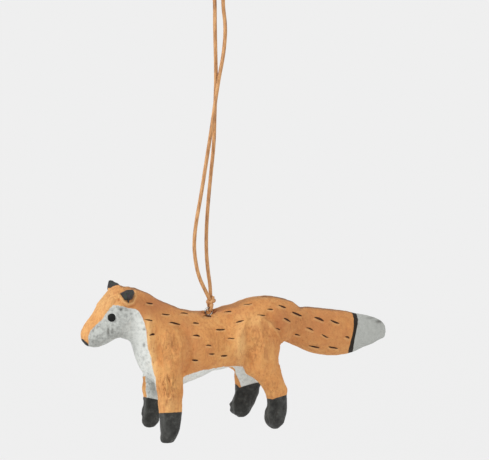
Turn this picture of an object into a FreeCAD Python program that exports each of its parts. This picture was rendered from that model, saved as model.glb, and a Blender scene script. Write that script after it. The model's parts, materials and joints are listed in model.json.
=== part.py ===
"""Hanging fox ornament of papier-mache, about 134 mm from nose to tail tip.

The fox walks towards -X, its left flank faces -Y, and +Z is up. The origin is where a peg
carries the cord loop, at the inside of its top bend, straight above the screw eye.

Pulp skins (head, torso, legs, tail) are lofts through oval stations. They close round two cores
of crumpled paper and three armature wires, and a small screw eye in the back carries the cord.
Tables whose names end in shares give places as shares of the sizes that they follow.
"""
import FreeCAD, Part

import math
import os

from FreeCAD import Placement, Rotation, Vector

X_AXIS = Vector(1, 0, 0)
Y_AXIS = Vector(0, 1, 0)
Z_AXIS = Vector(0, 0, 1)

# Driving dimensions in millimetres: name, value, what it measures
SIZES = [
    ("hang_drop", 131.0, "inside of the cord's top bend down to the centre of the eye's ring"),
    ("torso_length", 72.0, "neck face to tail root, the scale of the stations along the back"),
    ("torso_depth", 30.0, "height of the torso at the shoulders"),
    ("torso_width", 25.8, "width of the torso at the flanks"),
    ("pulp_wall", 2.6, "pulp skin between the torso's core and its outside"),
    ("tail_wall", 1.3, "the same round the core of the tail"),
    ("head_length", 17.4, "neck face to the tip of the nose"),
    ("head_depth", 20.0, "crown to jaw"),
    ("head_width", 17.6, "cheek to cheek"),
    ("tail_length", 45.0, "tail root to tail tip, along X"),
    ("tail_depth", 18.8, "thickest height of the brush"),
    ("tail_width", 17.6, "thickest width of the brush"),
    ("ear_height", 5.5, "foot of an ear, inside the head, to its tip"),
    ("ear_foot_radius", 3.7, "corner radius of the three-sided foot of an ear"),
    ("ear_tip_radius", 1.0, "corner radius of an ear's blunt tip"),
    ("eye_dot_radius", 1.55, "radius of the raised dot of paint that makes an eye"),
    ("eye_dot_rise", 0.8, "half thickness of that dot"),
    ("sole_drop", 47.7, "centre of the eye's ring down to the soles"),
    ("track_half", 9.8, "middle plane of the fox to the middle of a paw"),
    ("front_hip_drop", 5.5, "centre of the eye's ring down to the top of a front leg"),
    ("front_leg_depth", 10.0, "scale of a front leg from front to back"),
    ("front_leg_width", 9.6, "scale of a front leg from side to side"),
    ("hind_hip_drop", 3.0, "centre of the eye's ring down to the top of a hind leg"),
    ("hind_leg_depth", 10.0, "scale of a hind leg from front to back"),
    ("hind_leg_width", 9.6, "scale of a hind leg from side to side"),
    ("front_left_stride", 0.0, "how far the near front paw is set back from its shoulder"),
    ("front_right_stride", 1.2, "the same for the far front paw"),
    ("hind_left_stride", 0.0, "how far the near hind paw is set back from its haunch"),
    ("hind_right_stride", -3.5, "the same for the far hind paw, which stands forward"),
    ("spine_drop", 12.0, "centre of the eye's ring down to the long run of the spine wire"),
    ("wire_diameter", 1.4, "armature wire"),
    ("wire_tie_gap", 0.1, "paper tie between the spine wire and the leg wires under it"),
    ("wire_paw_cover", 4.0, "pulp between the end of a leg wire and the sole"),
    ("ring_radius", 1.55, "middle of the screw eye's wire ring"),
    ("eye_wire_diameter", 0.8, "wire of the screw eye's ring"),
    ("ring_sink", 0.4, "centre of the ring below the back, in its pit"),
    ("pit_length", 6.4, "scooped pit round the ring, along the back"),
    ("pit_width", 5.2, "the same pit across the back"),
    ("pit_depth", 2.0, "the same pit, back to floor"),
    ("shank_diameter", 1.3, "threaded shank of the screw eye"),
    ("shank_length", 8.0, "shank from the ring down to its point"),
    ("point_length", 1.8, "tapered point of the shank"),
    ("cord_diameter", 1.4, "waxed cord"),
    ("cord_running_gap", 0.06, "cord to the ring's wire where it bends round it"),
    ("knot_radius", 2.1, "half width of the knot"),
    ("knot_half_height", 2.3, "half height of the knot"),
    ("knot_lean", 0.5, "middle of the knot behind the middle of the ring"),
    ("knot_seat_gap", 0.25, "top of the ring to the underside of the knot"),
]

# Stations from front to back: along X from the ring, below the back at the ring,
# half height, half width, and how many degrees the section leans back at its top
TORSO_SHARES = [
    (-0.497, -0.075, 0.335, 0.310, 0),
    (-0.424, 0.048, 0.401, 0.360, 7),
    (-0.331, 0.298, 0.504, 0.434, 9),
    (-0.215, 0.435, 0.526, 0.488, 7),
    (-0.101, 0.450, 0.461, 0.500, 5),
    (0.028, 0.407, 0.407, 0.477, 0),
    (0.139, 0.370, 0.410, 0.481, 0),
    (0.243, 0.330, 0.450, 0.496, 2),
    (0.344, 0.283, 0.415, 0.465, 6),
    (0.424, 0.252, 0.342, 0.388, 11),
    (0.492, 0.255, 0.265, 0.302, 16),
]
CORE_ROWS = (4, 5, 7, 9, 10)

# Stations beyond the neck face: forward, up, half height, half width, lean in degrees
HEAD_SHARES = [
    (0.175, 0.018, 0.495, 0.500, -4),
    (0.360, -0.070, 0.440, 0.466, -8),
    (0.540, -0.205, 0.374, 0.386, -9),
    (0.700, -0.335, 0.278, 0.307, -12),
    (0.850, -0.408, 0.200, 0.233, -17),
    (0.955, -0.450, 0.100, 0.114, -23),
]

# Stations beyond the tail root: back, up, half height, half width, lean in degrees
TAIL_SHARES = [
    (0.129, -0.128, 0.443, 0.466, 12),
    (0.284, -0.241, 0.493, 0.500, 11),
    (0.462, -0.331, 0.493, 0.500, 11),
    (0.634, -0.366, 0.430, 0.449, 11),
    (0.796, -0.364, 0.341, 0.375, 11),
    (0.905, -0.383, 0.240, 0.261, 11),
    (0.980, -0.395, 0.110, 0.125, 10),
]
TAIL_CORE_ROWS = (0, 2, 3, 5)

# Legs: pair, side (-1 left, 1 right), hip along the torso, girth and reach of the pair's own
LEG_SHARES = [
    ("front", -1, -0.266, 1.00, 1.00),
    ("front", 1, -0.269, 0.76, 1.00),
    ("hind", -1, 0.262, 0.98, 0.99),
    ("hind", 1, 0.238, 1.05, 1.00),
]

# Stations down a leg: down from the hip, back from the hip, half depth, outwards, half width
DOWN_LEG_SHARES = {
    "front": [
        (0.0, 0.15, 0.360, 0.50, 0.34),
        (0.100, 0.06, 0.600, 0.74, 0.56),
        (0.227, -0.03, 0.675, 0.86, 0.62),
        (0.395, -0.15, 0.585, 0.93, 0.56),
        (0.562, -0.12, 0.500, 0.97, 0.49),
        (0.730, -0.09, 0.450, 0.98, 0.45),
        (0.897, -0.11, 0.385, 1.00, 0.38),
        (0.972, -0.15, 0.320, 1.00, 0.32),
        (1.0, -0.15, 0.230, 1.00, 0.22),
    ],
    "hind": [
        (0.0, -0.05, 0.400, 0.50, 0.36),
        (0.100, 0.0, 0.680, 0.72, 0.58),
        (0.226, 0.075, 0.820, 0.80, 0.68),
        (0.384, 0.060, 0.750, 0.86, 0.66),
        (0.519, 0.350, 0.590, 0.93, 0.57),
        (0.632, 0.620, 0.470, 0.97, 0.48),
        (0.745, 0.740, 0.410, 0.98, 0.43),
        (0.858, 0.690, 0.430, 1.00, 0.43),
        (0.948, 0.660, 0.360, 1.00, 0.37),
        (1.0, 0.660, 0.200, 1.00, 0.20),
    ],
}
THIGH_ROW, KNEE_ROW = 3, 5

# Ears and eyes on the head: forward from the neck face, outwards, up
EAR_FOOT_SHARES = (0.069, 0.310, 0.333)
EYE_DOT_SHARES = (0.466, 0.412, 0.02)
EAR_OUTWARD_DEGREES = 48
EAR_FORWARD_DEGREES = 5
EAR_CORNER_DEGREES = 90
EYE_DOT_YAW_DEGREES = 22

# Ends and bends of the spine wire along the head, the torso and the tail
SPINE_NOSE_SHARE = 0.70
SPINE_SHOULDER_SHARE = -0.36
SPINE_RUMP_SHARE = 0.34
SPINE_BRUSH_SHARE = 0.20
POINT_TIP_SHARE = 0.12  # blunt end of the shank's point, of the shank's diameter

# The cord's route in millimetres from the hanging point, up the near strand, round the peg
# and down the far one, as the photograph shows its bow, its crossing and its two ends
CORD_ROUTE = [
    (0.2, -0.80, -126.6),
    (-2.4, -0.80, -121.8),
    (-5.1, -0.85, -116.6),
    (-6.8, -0.90, -110.4),
    (-7.7, -0.90, -103.4),
    (-7.1, -0.95, -95.0),
    (-5.3, -1.00, -84.4),
    (-3.6, -1.00, -72.0),
    (-1.5, -1.00, -57.0),
    (0.4, -0.95, -41.0),
    (2.6, -0.70, -30.0),
    (3.2, -0.45, -20.0),
    (1.7, -0.20, -11.4),
    (2.1, 0.0, -5.4),
    (2.1, 0.0, 0.7),
    (-2.1, 0.0, 0.7),
    (-2.1, 0.0, -5.4),
    (-1.35, 0.20, -11.4),
    (-1.0, 0.45, -18.8),
    (-0.35, 0.70, -28.0),
    (0.5, 0.95, -40.0),
    (0.35, 1.00, -53.0),
    (0.5, 1.00, -64.4),
    (-0.45, 1.00, -76.0),
    (-1.3, 0.95, -87.6),
    (-1.75, 0.90, -98.4),
    (-1.45, 0.85, -108.0),
    (-0.4, 0.85, -115.6),
    (0.75, 0.80, -121.4),
    (1.0, 0.80, -126.6),
]
RUN_SHARE = 0.45  # of the shorter run beside a corner, taken up by its arc

doc = FreeCAD.newDocument("HangingFox")
sheet = doc.addObject("Spreadsheet::Sheet", "Sizes")


def fill_sheet():
    """Writes each driving dimension into its own aliased cell."""
    for row, (alias, value, meaning) in enumerate(SIZES, start=1):
        sheet.set(f"A{row}", meaning)
        sheet.set(f"B{row}", str(value))
        sheet.setAlias(f"B{row}", alias)
    doc.recompute()


def size(alias):
    """A driving dimension, read back from the sheet."""
    return float(sheet.get(alias))


def add(kind, name, **bindings):
    """A document object with its sizes bound to expressions."""
    made = doc.addObject(kind, name)
    for prop, expression in bindings.items():
        made.setExpression(prop.replace("__", "."), expression)
    return made


def node(made, label):
    """Keeps a finished piece under its own label."""
    made.Label = label
    nodes.append(made)


def oval(name, centre, tall, wide, turn, wall=None):
    """An ellipse with one half size along its own X after the turn and one along its Y.

    Each half size is a driving dimension and a share of it, less a wall when one is named. An
    ellipse states its longer half size first, so an oval wider than tall is turned upright."""
    across = size(wide[0]) * wide[1] > size(tall[0]) * tall[1]
    longer, shorter = (wide, tall) if across else (tall, wide)
    less, inset = (size(wall), f" - Sizes.{wall}") if wall else (0, "")
    made = doc.addObject("Part::Ellipse", name)
    made.MajorRadius = size(longer[0]) * longer[1] - less
    made.MinorRadius = size(shorter[0]) * shorter[1] - less
    made.setExpression("MajorRadius", f"Sizes.{longer[0]} * {longer[1]}{inset}")
    made.setExpression("MinorRadius", f"Sizes.{shorter[0]} * {shorter[1]}{inset}")
    made.Placement = Placement(Vector(), turn.multiply(Rotation(Z_AXIS, 90 * across)))
    for axis, expression in zip("xyz", centre):
        made.setExpression(f"Placement.Base.{axis}", expression)
    return made


def upright(lean):
    """Turns an oval to stand across X, leaning back at its top by some degrees."""
    return Rotation(Y_AXIS, -90 + lean)


def loft(name, sections):
    """A smooth closed skin through the sections."""
    made = doc.addObject("Part::Loft", name)
    made.Sections = sections
    made.Solid = True
    made.Ruled = False
    return made


def cut(name, base, tools):
    """The base less the tools, which are fused first when there are several."""
    made = doc.addObject("Part::Cut", name)
    made.Base = base
    made.Tool = tools[0] if len(tools) == 1 else fuse(f"{name}_tool", tools)
    return made


def fuse(name, shapes):
    """Several solids as one."""
    made = doc.addObject("Part::MultiFuse", name)
    made.Shapes = shapes
    return made


def torso_centre(row):
    """Expressions for X and Z of the middle of one torso station."""
    along, below = TORSO_SHARES[row][:2]
    back = "-Sizes.hang_drop + Sizes.ring_sink"
    return f"Sizes.torso_length * {along}", f"{back} - Sizes.torso_depth * {below}"


def torso_section(row, name="torso", wall=None):
    """One station of the torso, or of the core inside it."""
    _, _, tall, wide, lean = TORSO_SHARES[row]
    x, z = torso_centre(row)
    sizes = ("torso_depth", tall), ("torso_width", wide)
    return oval(f"{name}_station_{row}", (x, "0", z), *sizes, upright(lean), wall)


def ring_z():
    """Height of the centre of the screw eye's ring."""
    return -size("hang_drop")


def section_beyond(seat_row, prefix, shares, row, sign, name=None, wall=None):
    """A station that runs on from a torso station, forwards for the head, back for the tail."""
    seat_x, seat_z = torso_centre(seat_row)
    along, rise, tall, wide, lean = shares[row]
    x = f"{seat_x} {sign} Sizes.{prefix}_length * {along}"
    z = f"{seat_z} + Sizes.{prefix}_depth * {rise}"
    sizes = (f"{prefix}_depth", tall), (f"{prefix}_width", wide)
    return oval(f"{name or prefix}_station_{row}", (x, "0", z), *sizes, upright(lean), wall)


def leg_place(pair, side, hip_share, reach, row):
    """Expressions for the middle of one station of a leg."""
    hand = "left" if side < 0 else "right"
    down, back, _, out, _ = DOWN_LEG_SHARES[pair][row]
    return (
        f"Sizes.torso_length * {hip_share} + Sizes.{pair}_leg_depth * {back}"
        f" + Sizes.{pair}_{hand}_stride * {down} * {down}",
        f"Sizes.track_half * {side} * {out}",
        f"-Sizes.hang_drop - Sizes.{pair}_hip_drop"
        f" - (Sizes.sole_drop - Sizes.{pair}_hip_drop) * {reach} * {down}",
    )


def leg_skin(pair, side, hip_share, girth, reach):
    """One leg from inside the torso down to its sole."""
    hand = "left" if side < 0 else "right"
    sections = []
    for row, (_, _, deep, _, wide) in enumerate(DOWN_LEG_SHARES[pair]):
        sections.append(
            oval(
                f"{pair}_{hand}_station_{row}",
                leg_place(pair, side, hip_share, reach, row),
                (f"{pair}_leg_depth", deep * girth),
                (f"{pair}_leg_width", wide * girth),
                Rotation(),
            )
        )
    return loft(f"{pair}_leg_{hand}_whole", sections)


def rounded_path(points):
    """Straight runs joined by tangent arcs, each as large as its two runs allow."""
    edges, radii = [], []
    start = points[0]
    for before, corner, after in zip(points, points[1:], points[2:]):
        into, out = corner - before, after - corner
        turn = into.getAngle(out)
        setback = RUN_SHARE * min(into.Length, out.Length)
        radii.append(setback / math.tan(turn / 2))
        into.normalize()
        out.normalize()
        first, last = corner - into * setback, corner + out * setback
        bulge = (out - into).normalize() * (radii[-1] * (1 / math.cos(turn / 2) - 1))
        edges.append(Part.LineSegment(start, first).toShape())
        edges.append(Part.Arc(first, corner + bulge, last).toShape())
        start = last
    edges.append(Part.LineSegment(start, points[-1]).toShape())
    return Part.Wire(edges), radii


def tube(name, points, diameter):
    """A round bar along a rounded path, with its tightest bend and its volume printed."""
    path, radii = rounded_path(points)
    along = points[1] - points[0]
    profile = Part.Wire(Part.makeCircle(diameter / 2, points[0], along))
    made = doc.addObject("Part::Feature", name)
    made.Shape = path.makePipeShell([profile], True, False)
    section = math.pi * diameter**2 / 4
    print(
        f"{name}: length {path.Length:.1f}, tightest radius {min(radii):.2f},"
        f" volume over section times length {made.Shape.Volume / (section * path.Length):.4f}"
    )
    return made


def place_on_head(made, shares, side):
    """Binds a piece's place to the head: forward of the neck face, outwards and up."""
    forward, out, up = shares
    neck_x, neck_z = torso_centre(0)
    made.setExpression("Placement.Base.x", f"{neck_x} - Sizes.head_length * {forward}")
    made.setExpression("Placement.Base.y", f"Sizes.head_width * {side * out}")
    made.setExpression("Placement.Base.z", f"{neck_z} + Sizes.head_depth * {up}")


def ear(side, skins):
    """A three-sided blunt pyramid that stands up and outwards where the head meets the neck."""
    hand = "left" if side < 0 else "right"
    foot = add("Part::RegularPolygon", f"ear_{hand}_foot", Circumradius="Sizes.ear_foot_radius")
    tip = add("Part::RegularPolygon", f"ear_{hand}_tip", Circumradius="Sizes.ear_tip_radius")
    foot.Polygon = tip.Polygon = 3
    tip.setExpression("Placement.Base.z", "Sizes.ear_height")
    whole = loft(f"ear_{hand}_whole", [foot, tip])
    whole.Ruled = True
    outward = Rotation(X_AXIS, -side * EAR_OUTWARD_DEGREES)
    forward = Rotation(Y_AXIS, -EAR_FORWARD_DEGREES)
    corner = Rotation(Z_AXIS, side * EAR_CORNER_DEGREES)
    whole.Placement = Placement(Vector(), forward.multiply(outward).multiply(corner))
    place_on_head(whole, EAR_FOOT_SHARES, side)
    node(cut(f"ear_{hand}_cut", whole, skins), f"ear_{hand}")


def eye_dot(side, skull):
    """A raised round dot of black paint on the cheek."""
    hand = "left" if side < 0 else "right"
    whole = add(
        "Part::Ellipsoid",
        f"eye_{hand}_whole",
        Radius1="Sizes.eye_dot_rise",
        Radius2="Sizes.eye_dot_radius",
        Radius3="Sizes.eye_dot_radius",
    )
    yaw = Rotation(Z_AXIS, side * EYE_DOT_YAW_DEGREES)
    whole.Placement = Placement(Vector(), yaw.multiply(Rotation(X_AXIS, 90)))
    place_on_head(whole, EYE_DOT_SHARES, side)
    node(cut(f"eye_{hand}_cut", whole, [skull]), f"eye_{hand}")


def spine_wire():
    """The long armature wire from the head through the torso's core into the tail."""
    neck, root = TORSO_SHARES[0], TORSO_SHARES[-1]
    back_z = ring_z() + size("ring_sink")
    spine_z = ring_z() - size("spine_drop")
    head_end = Vector(
        size("torso_length") * neck[0] - size("head_length") * SPINE_NOSE_SHARE,
        0,
        back_z - size("torso_depth") * neck[1] + size("head_depth") * HEAD_SHARES[2][1],
    )
    tail_end = Vector(
        size("torso_length") * root[0] + size("tail_length") * SPINE_BRUSH_SHARE,
        0,
        back_z - size("torso_depth") * root[1] + size("tail_depth") * TAIL_SHARES[0][1],
    )
    shoulder = Vector(size("torso_length") * SPINE_SHOULDER_SHARE, 0, spine_z)
    rump = Vector(size("torso_length") * SPINE_RUMP_SHARE, 0, spine_z)
    points = [head_end, shoulder, rump, tail_end]
    return tube("spine_wire_bar", points, size("wire_diameter"))


def leg_line(pair, side, hip_share, reach):
    """The middle of one leg, as points from its bridge under the spine wire into its paw."""
    hand = "left" if side < 0 else "right"
    length = (size("sole_drop") - size(f"{pair}_hip_drop")) * reach

    def place(row):
        down, back, _, out, _ = DOWN_LEG_SHARES[pair][row]
        return Vector(
            size("torso_length") * hip_share
            + size(f"{pair}_leg_depth") * back
            + size(f"{pair}_{hand}_stride") * down * down,
            size("track_half") * side * out,
            ring_z() - size(f"{pair}_hip_drop") - length * down,
        )

    thigh, knee, paw = place(THIGH_ROW), place(KNEE_ROW), place(-1)
    paw.z += size("wire_paw_cover")
    bridge_z = ring_z() - size("spine_drop") - size("wire_diameter") - size("wire_tie_gap")
    bridge = Vector(thigh.x, place(0).y, bridge_z)
    return [bridge, thigh, knee, paw]


def leg_wire(pair):
    """One wire bent under the spine wire and down both legs of a pair."""
    lines = [
        leg_line(pair, side, hip_share, reach)
        for owner, side, hip_share, _, reach in LEG_SHARES
        if owner == pair
    ]
    left, right = lines
    return tube(f"{pair}_leg_wire_bar", left[::-1] + right, size("wire_diameter"))


def ring_pit():
    """The scoop in the back that leaves the ring open for the cord."""
    return add(
        "Part::Ellipsoid",
        "ring_pit",
        Radius1="Sizes.pit_depth",
        Radius2="Sizes.pit_length / 2",
        Radius3="Sizes.pit_width / 2",
        Placement__Base__z="-Sizes.hang_drop + Sizes.ring_sink",
    )


def screw_eye():
    """A wire ring in the XZ plane with a pointed shank that goes down into the core."""
    ring = add(
        "Part::Torus",
        "eye_ring",
        Radius1="Sizes.ring_radius",
        Radius2="Sizes.eye_wire_diameter / 2",
    )
    ring.Placement = Placement(Vector(), Rotation(X_AXIS, 90))
    ring.setExpression("Placement.Base.z", "-Sizes.hang_drop")
    shank = add(
        "Part::Cylinder",
        "eye_shank",
        Radius="Sizes.shank_diameter / 2",
        Height="Sizes.shank_length - Sizes.point_length",
        Placement__Base__z="-Sizes.hang_drop - Sizes.ring_radius"
        " - Sizes.shank_length + Sizes.point_length",
    )
    point = add(
        "Part::Cone",
        "eye_point",
        Radius1=f"Sizes.shank_diameter * {POINT_TIP_SHARE}",
        Radius2="Sizes.shank_diameter / 2",
        Height="Sizes.point_length",
        Placement__Base__z="-Sizes.hang_drop - Sizes.ring_radius - Sizes.shank_length",
    )
    return fuse("screw_eye_whole", [ring, shank, point])


def knot_lump():
    """The tight knot that closes the cord just above the ring."""
    return add(
        "Part::Ellipsoid",
        "knot_lump",
        Radius1="Sizes.knot_half_height",
        Radius2="Sizes.knot_radius",
        Radius3="Sizes.knot_radius",
        Placement__Base__x="Sizes.knot_lean",
        Placement__Base__z="-Sizes.hang_drop + Sizes.ring_radius + Sizes.eye_wire_diameter / 2"
        " + Sizes.knot_seat_gap + Sizes.knot_half_height",
    )


def bight_bar():
    """The bight of cord that goes through the ring and up both its sides into the knot."""
    wire, cord = size("eye_wire_diameter"), size("cord_diameter")
    bend = (wire + cord) / 2 + size("cord_running_gap")
    ring_top = ring_z() + size("ring_radius")
    knot_z = ring_top + wire / 2 + size("knot_seat_gap") + size("knot_half_height")
    high_near, low_near = Vector(0, -bend, knot_z), Vector(0, -bend, ring_top)
    high_far, low_far = Vector(0, bend, knot_z), Vector(0, bend, ring_top)
    path = Part.Wire(
        [
            Part.LineSegment(high_near, low_near).toShape(),
            Part.Arc(low_near, Vector(0, 0, ring_top - bend), low_far).toShape(),
            Part.LineSegment(low_far, high_far).toShape(),
        ]
    )
    profile = Part.Wire(Part.makeCircle(cord / 2, high_near, Z_AXIS))
    made = doc.addObject("Part::Feature", "bight_bar")
    made.Shape = path.makePipeShell([profile], True, False)
    return made


def build():
    """Makes every piece, the inner ones first because the skins close round them."""
    rows = range(len(TORSO_SHARES))
    stations = [torso_section(row) for row in rows]
    torso = loft("torso_whole", stations)
    front = [section_beyond(0, "head", HEAD_SHARES, row, "-") for row in range(len(HEAD_SHARES))]
    skull = loft("head_whole", [stations[0]] + front)
    back = [section_beyond(-1, "tail", TAIL_SHARES, row, "+") for row in range(len(TAIL_SHARES))]
    brush = loft("tail_whole", [stations[-1]] + back)

    body_core = loft("body_core_whole", [torso_section(row, "core", "pulp_wall") for row in CORE_ROWS])
    tail_rows = [
        section_beyond(-1, "tail", TAIL_SHARES, row, "+", "tail_core", "tail_wall")
        for row in TAIL_CORE_ROWS
    ]
    tail_core = loft("tail_core_whole", tail_rows)
    eye = screw_eye()
    spine = spine_wire()
    front_wire = leg_wire("front")
    hind_wire = leg_wire("hind")
    wires = [spine, front_wire, hind_wire]

    node(cut("torso_cut", torso, [body_core, eye, ring_pit()] + wires), "torso")
    node(cut("head_cut", skull, [spine]), "head")
    node(cut("tail_cut", brush, [tail_core, spine]), "tail")
    node(cut("body_core_cut", body_core, [eye] + wires), "body_core")
    node(cut("tail_core_cut", tail_core, [spine]), "tail_core")
    node(spine, "spine_wire")
    node(front_wire, "front_leg_wire")
    node(hind_wire, "hind_leg_wire")
    node(eye, "screw_eye")

    for pair, side, hip_share, girth, reach in LEG_SHARES:
        hand = "left" if side < 0 else "right"
        skin = leg_skin(pair, side, hip_share, girth, reach)
        wire = front_wire if pair == "front" else hind_wire
        node(cut(f"{pair}_leg_{hand}_cut", skin, [torso, wire]), f"{pair}_leg_{hand}")
    for side in (-1, 1):
        ear(side, [skull, torso])
        eye_dot(side, skull)

    knot = knot_lump()
    strands = tube("strands_bar", [Vector(*place) for place in CORD_ROUTE], size("cord_diameter"))
    node(knot, "cord_knot")
    node(cut("bight_cut", bight_bar(), [knot]), "cord_bight")
    node(cut("strands_cut", strands, [knot]), "cord_loop")


def check():
    """Stops on a failed object or a piece that is not one sound solid."""
    failed = [made.Name for made in doc.Objects if {"Invalid", "Error"} & set(made.State)]
    if failed:
        raise RuntimeError(f"these objects failed: {failed}")
    for made in nodes:
        shape = made.Shape
        if shape.isNull() or not shape.isValid():
            raise RuntimeError(f"{made.Label} has no sound shape")
        if len(shape.Solids) != 1:
            raise RuntimeError(f"{made.Label} holds {len(shape.Solids)} solids, not one")


def export():
    """Writes one STEP file for each piece."""
    os.makedirs("parts", exist_ok=True)
    for made in nodes:
        made.Shape.exportStep(f"parts/{made.Label}.step")


nodes = []
fill_sheet()
build()
doc.recompute()
check()
export()
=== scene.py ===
"""The looks of a small hanging fox, moulded in paper pulp and painted by hand.

Lengths are in metres, in the solid model's frame: the nose points along -X, the left flank faces
-Y, and the origin is the inside of the cord loop's top bend. Pixels are those of the picture that
the fox is set against, 489 wide and 460 high.
"""

import json
import math
import random

import bmesh
import bpy
import numpy as np
from bpy.props import FloatProperty, FloatVectorProperty, PointerProperty
from mathutils import Matrix, Vector, noise
from mathutils.bvhtree import BVHTree


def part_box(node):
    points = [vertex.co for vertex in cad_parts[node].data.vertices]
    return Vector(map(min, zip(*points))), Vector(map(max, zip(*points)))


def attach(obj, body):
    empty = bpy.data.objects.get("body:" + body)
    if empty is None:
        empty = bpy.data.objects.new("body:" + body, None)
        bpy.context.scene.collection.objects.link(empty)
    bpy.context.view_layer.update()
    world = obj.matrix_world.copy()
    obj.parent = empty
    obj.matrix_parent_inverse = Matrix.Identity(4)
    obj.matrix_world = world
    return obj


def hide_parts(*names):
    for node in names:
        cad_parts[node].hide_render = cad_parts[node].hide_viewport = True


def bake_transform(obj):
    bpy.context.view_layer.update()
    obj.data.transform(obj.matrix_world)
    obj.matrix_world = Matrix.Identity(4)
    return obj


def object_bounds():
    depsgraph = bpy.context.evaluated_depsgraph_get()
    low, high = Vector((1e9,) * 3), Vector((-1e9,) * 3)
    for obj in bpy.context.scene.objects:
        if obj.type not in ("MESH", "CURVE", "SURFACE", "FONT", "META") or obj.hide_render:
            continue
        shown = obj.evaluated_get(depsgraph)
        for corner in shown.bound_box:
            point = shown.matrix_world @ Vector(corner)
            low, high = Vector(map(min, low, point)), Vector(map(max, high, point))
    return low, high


bl_info = {
    "name": "Hanging Fox Ornament",
    "version": (1, 0, 0),
    "blender": (4, 5, 0),
    "location": "3D View > Sidebar > Fox",
    "description": "Dresses the solid model of a painted pulp fox on a leather cord",
    "category": "Object",
}

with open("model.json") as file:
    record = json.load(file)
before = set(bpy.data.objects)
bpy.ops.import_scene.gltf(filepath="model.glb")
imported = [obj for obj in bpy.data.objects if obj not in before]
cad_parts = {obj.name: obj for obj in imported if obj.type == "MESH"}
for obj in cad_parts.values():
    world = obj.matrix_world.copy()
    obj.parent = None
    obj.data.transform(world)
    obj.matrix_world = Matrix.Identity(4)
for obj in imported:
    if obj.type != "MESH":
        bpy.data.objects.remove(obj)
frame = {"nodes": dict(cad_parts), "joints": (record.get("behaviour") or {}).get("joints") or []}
SOLID_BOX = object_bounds()

MM = 0.001
WELD = 0.002 * MM


def joint_point(name):
    """Where a joint's axis stands."""
    found = [joint for joint in frame["joints"] if joint["name"] == name]
    return Vector(found[0]["pos_m"])


def paint(red, green, blue):
    """A colour given as it shows on a screen, 0 to 255, as linear light."""
    shares = [value / 255 for value in (red, green, blue)]
    return tuple(s / 12.92 if s <= 0.04045 else ((s + 0.055) / 1.055) ** 2.4 for s in shares)


RING = joint_point("fore_aft_swing")
RING_TOP = joint_point("side_swing")
KNOT = joint_point("cord_turn")

# The picture and the camera that took it
PICTURE_WIDTH = 489
PICTURE_HEIGHT = 460
PIXEL = 0.39 * MM
RING_PIXEL = (208.8, 311.5)
VIEW_AZIMUTH = math.radians(-26.5)
VIEW_ELEVATION = math.radians(12.0)
VIEW_ROLL = math.radians(2.0)
VIEW_DISTANCE = 0.750
SENSOR_WIDTH_MM = 36.0

# The cord
CORD_ROUTE_MM = [
    (0.2, -0.80, -126.6), (-2.4, -0.80, -121.8), (-5.1, -0.85, -116.6), (-6.8, -0.90, -110.4),
    (-7.7, -0.90, -103.4), (-7.1, -0.95, -95.0), (-5.3, -1.00, -84.4), (-3.6, -1.00, -72.0),
    (-1.5, -1.00, -57.0), (0.4, -0.95, -41.0), (2.6, -0.70, -30.0), (3.2, -0.45, -20.0),
    (1.7, -0.20, -11.4), (2.1, 0.0, -5.4), (2.1, 0.0, 0.7), (-2.1, 0.0, 0.7), (-2.1, 0.0, -5.4),
    (-1.35, 0.20, -11.4), (-1.0, 0.45, -18.8), (-0.35, 0.70, -28.0), (0.5, 0.95, -40.0),
    (0.35, 1.00, -53.0), (0.5, 1.00, -64.4), (-0.45, 1.00, -76.0), (-1.3, 0.95, -87.6),
    (-1.75, 0.90, -98.4), (-1.45, 0.85, -108.0), (-0.4, 0.85, -115.6), (0.75, 0.80, -121.4),
    (1.0, 0.80, -126.6),
]
KNOT_CENTRE = Vector((0.8 * MM, 0.0, KNOT.z - 0.45 * MM))
KNOT_COIL_RADIUS = 1.05 * MM
KNOT_LACE_RADIUS = 0.92 * MM
KNOT_COIL_RISE = 0.9 * MM
KNOT_COIL_STEPS = 10
KNOT_COIL_STEPS_A_TURN = 8
KNOT_COIL_LEAN = math.radians(30)
KNOT_CORES_MM = {
    -1: [(0.5, -0.75, 2.2), (-0.1, -0.55, 0.8), (-0.3, -0.85, -0.8), (-0.5, -1.1, -1.9)],
    1: [(-0.5, 0.75, 2.2), (0.1, 0.55, 0.5), (-0.3, 0.85, -0.8), (-0.5, 1.1, -1.9)],
}
BIGHT_ACROSS = 0.45 * MM
BIGHT_END_ASIDE = 0.3 * MM
BIGHT_END_DROP = 1.2 * MM
BIGHT_LACE_RADIUS = 0.64 * MM
BIGHT_RADIUS = 1.16 * MM
LACE_WAVE = 2.2 * MM

# How much of a round's radius is left where a spline cuts its corners
SPLINE_CORNER_SHARE = 0.925

# How the joins of the limbs are filled: the depth of a corner, the rings of faces round it that
# are evened out, how often, and up to which height
JOIN_DEPTH = 0.035 * MM
JOIN_RINGS = 5
JOIN_ROUNDS = 14
JOIN_TOP = RING.z - 6 * MM

# The plug that fills the screw eye's hole in the skin
PLUG_RADIUS = 1.1 * MM
PLUG_DEPTH = 8 * MM
PLUG_TOP = RING.z - 2.4 * MM

# Where the floor starts and ends to fade, and how much it has faded there
FLOOR_FADE_REACH = (0.25, 0.55)
FLOOR_FADE = (0.85, 1.0)

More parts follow.
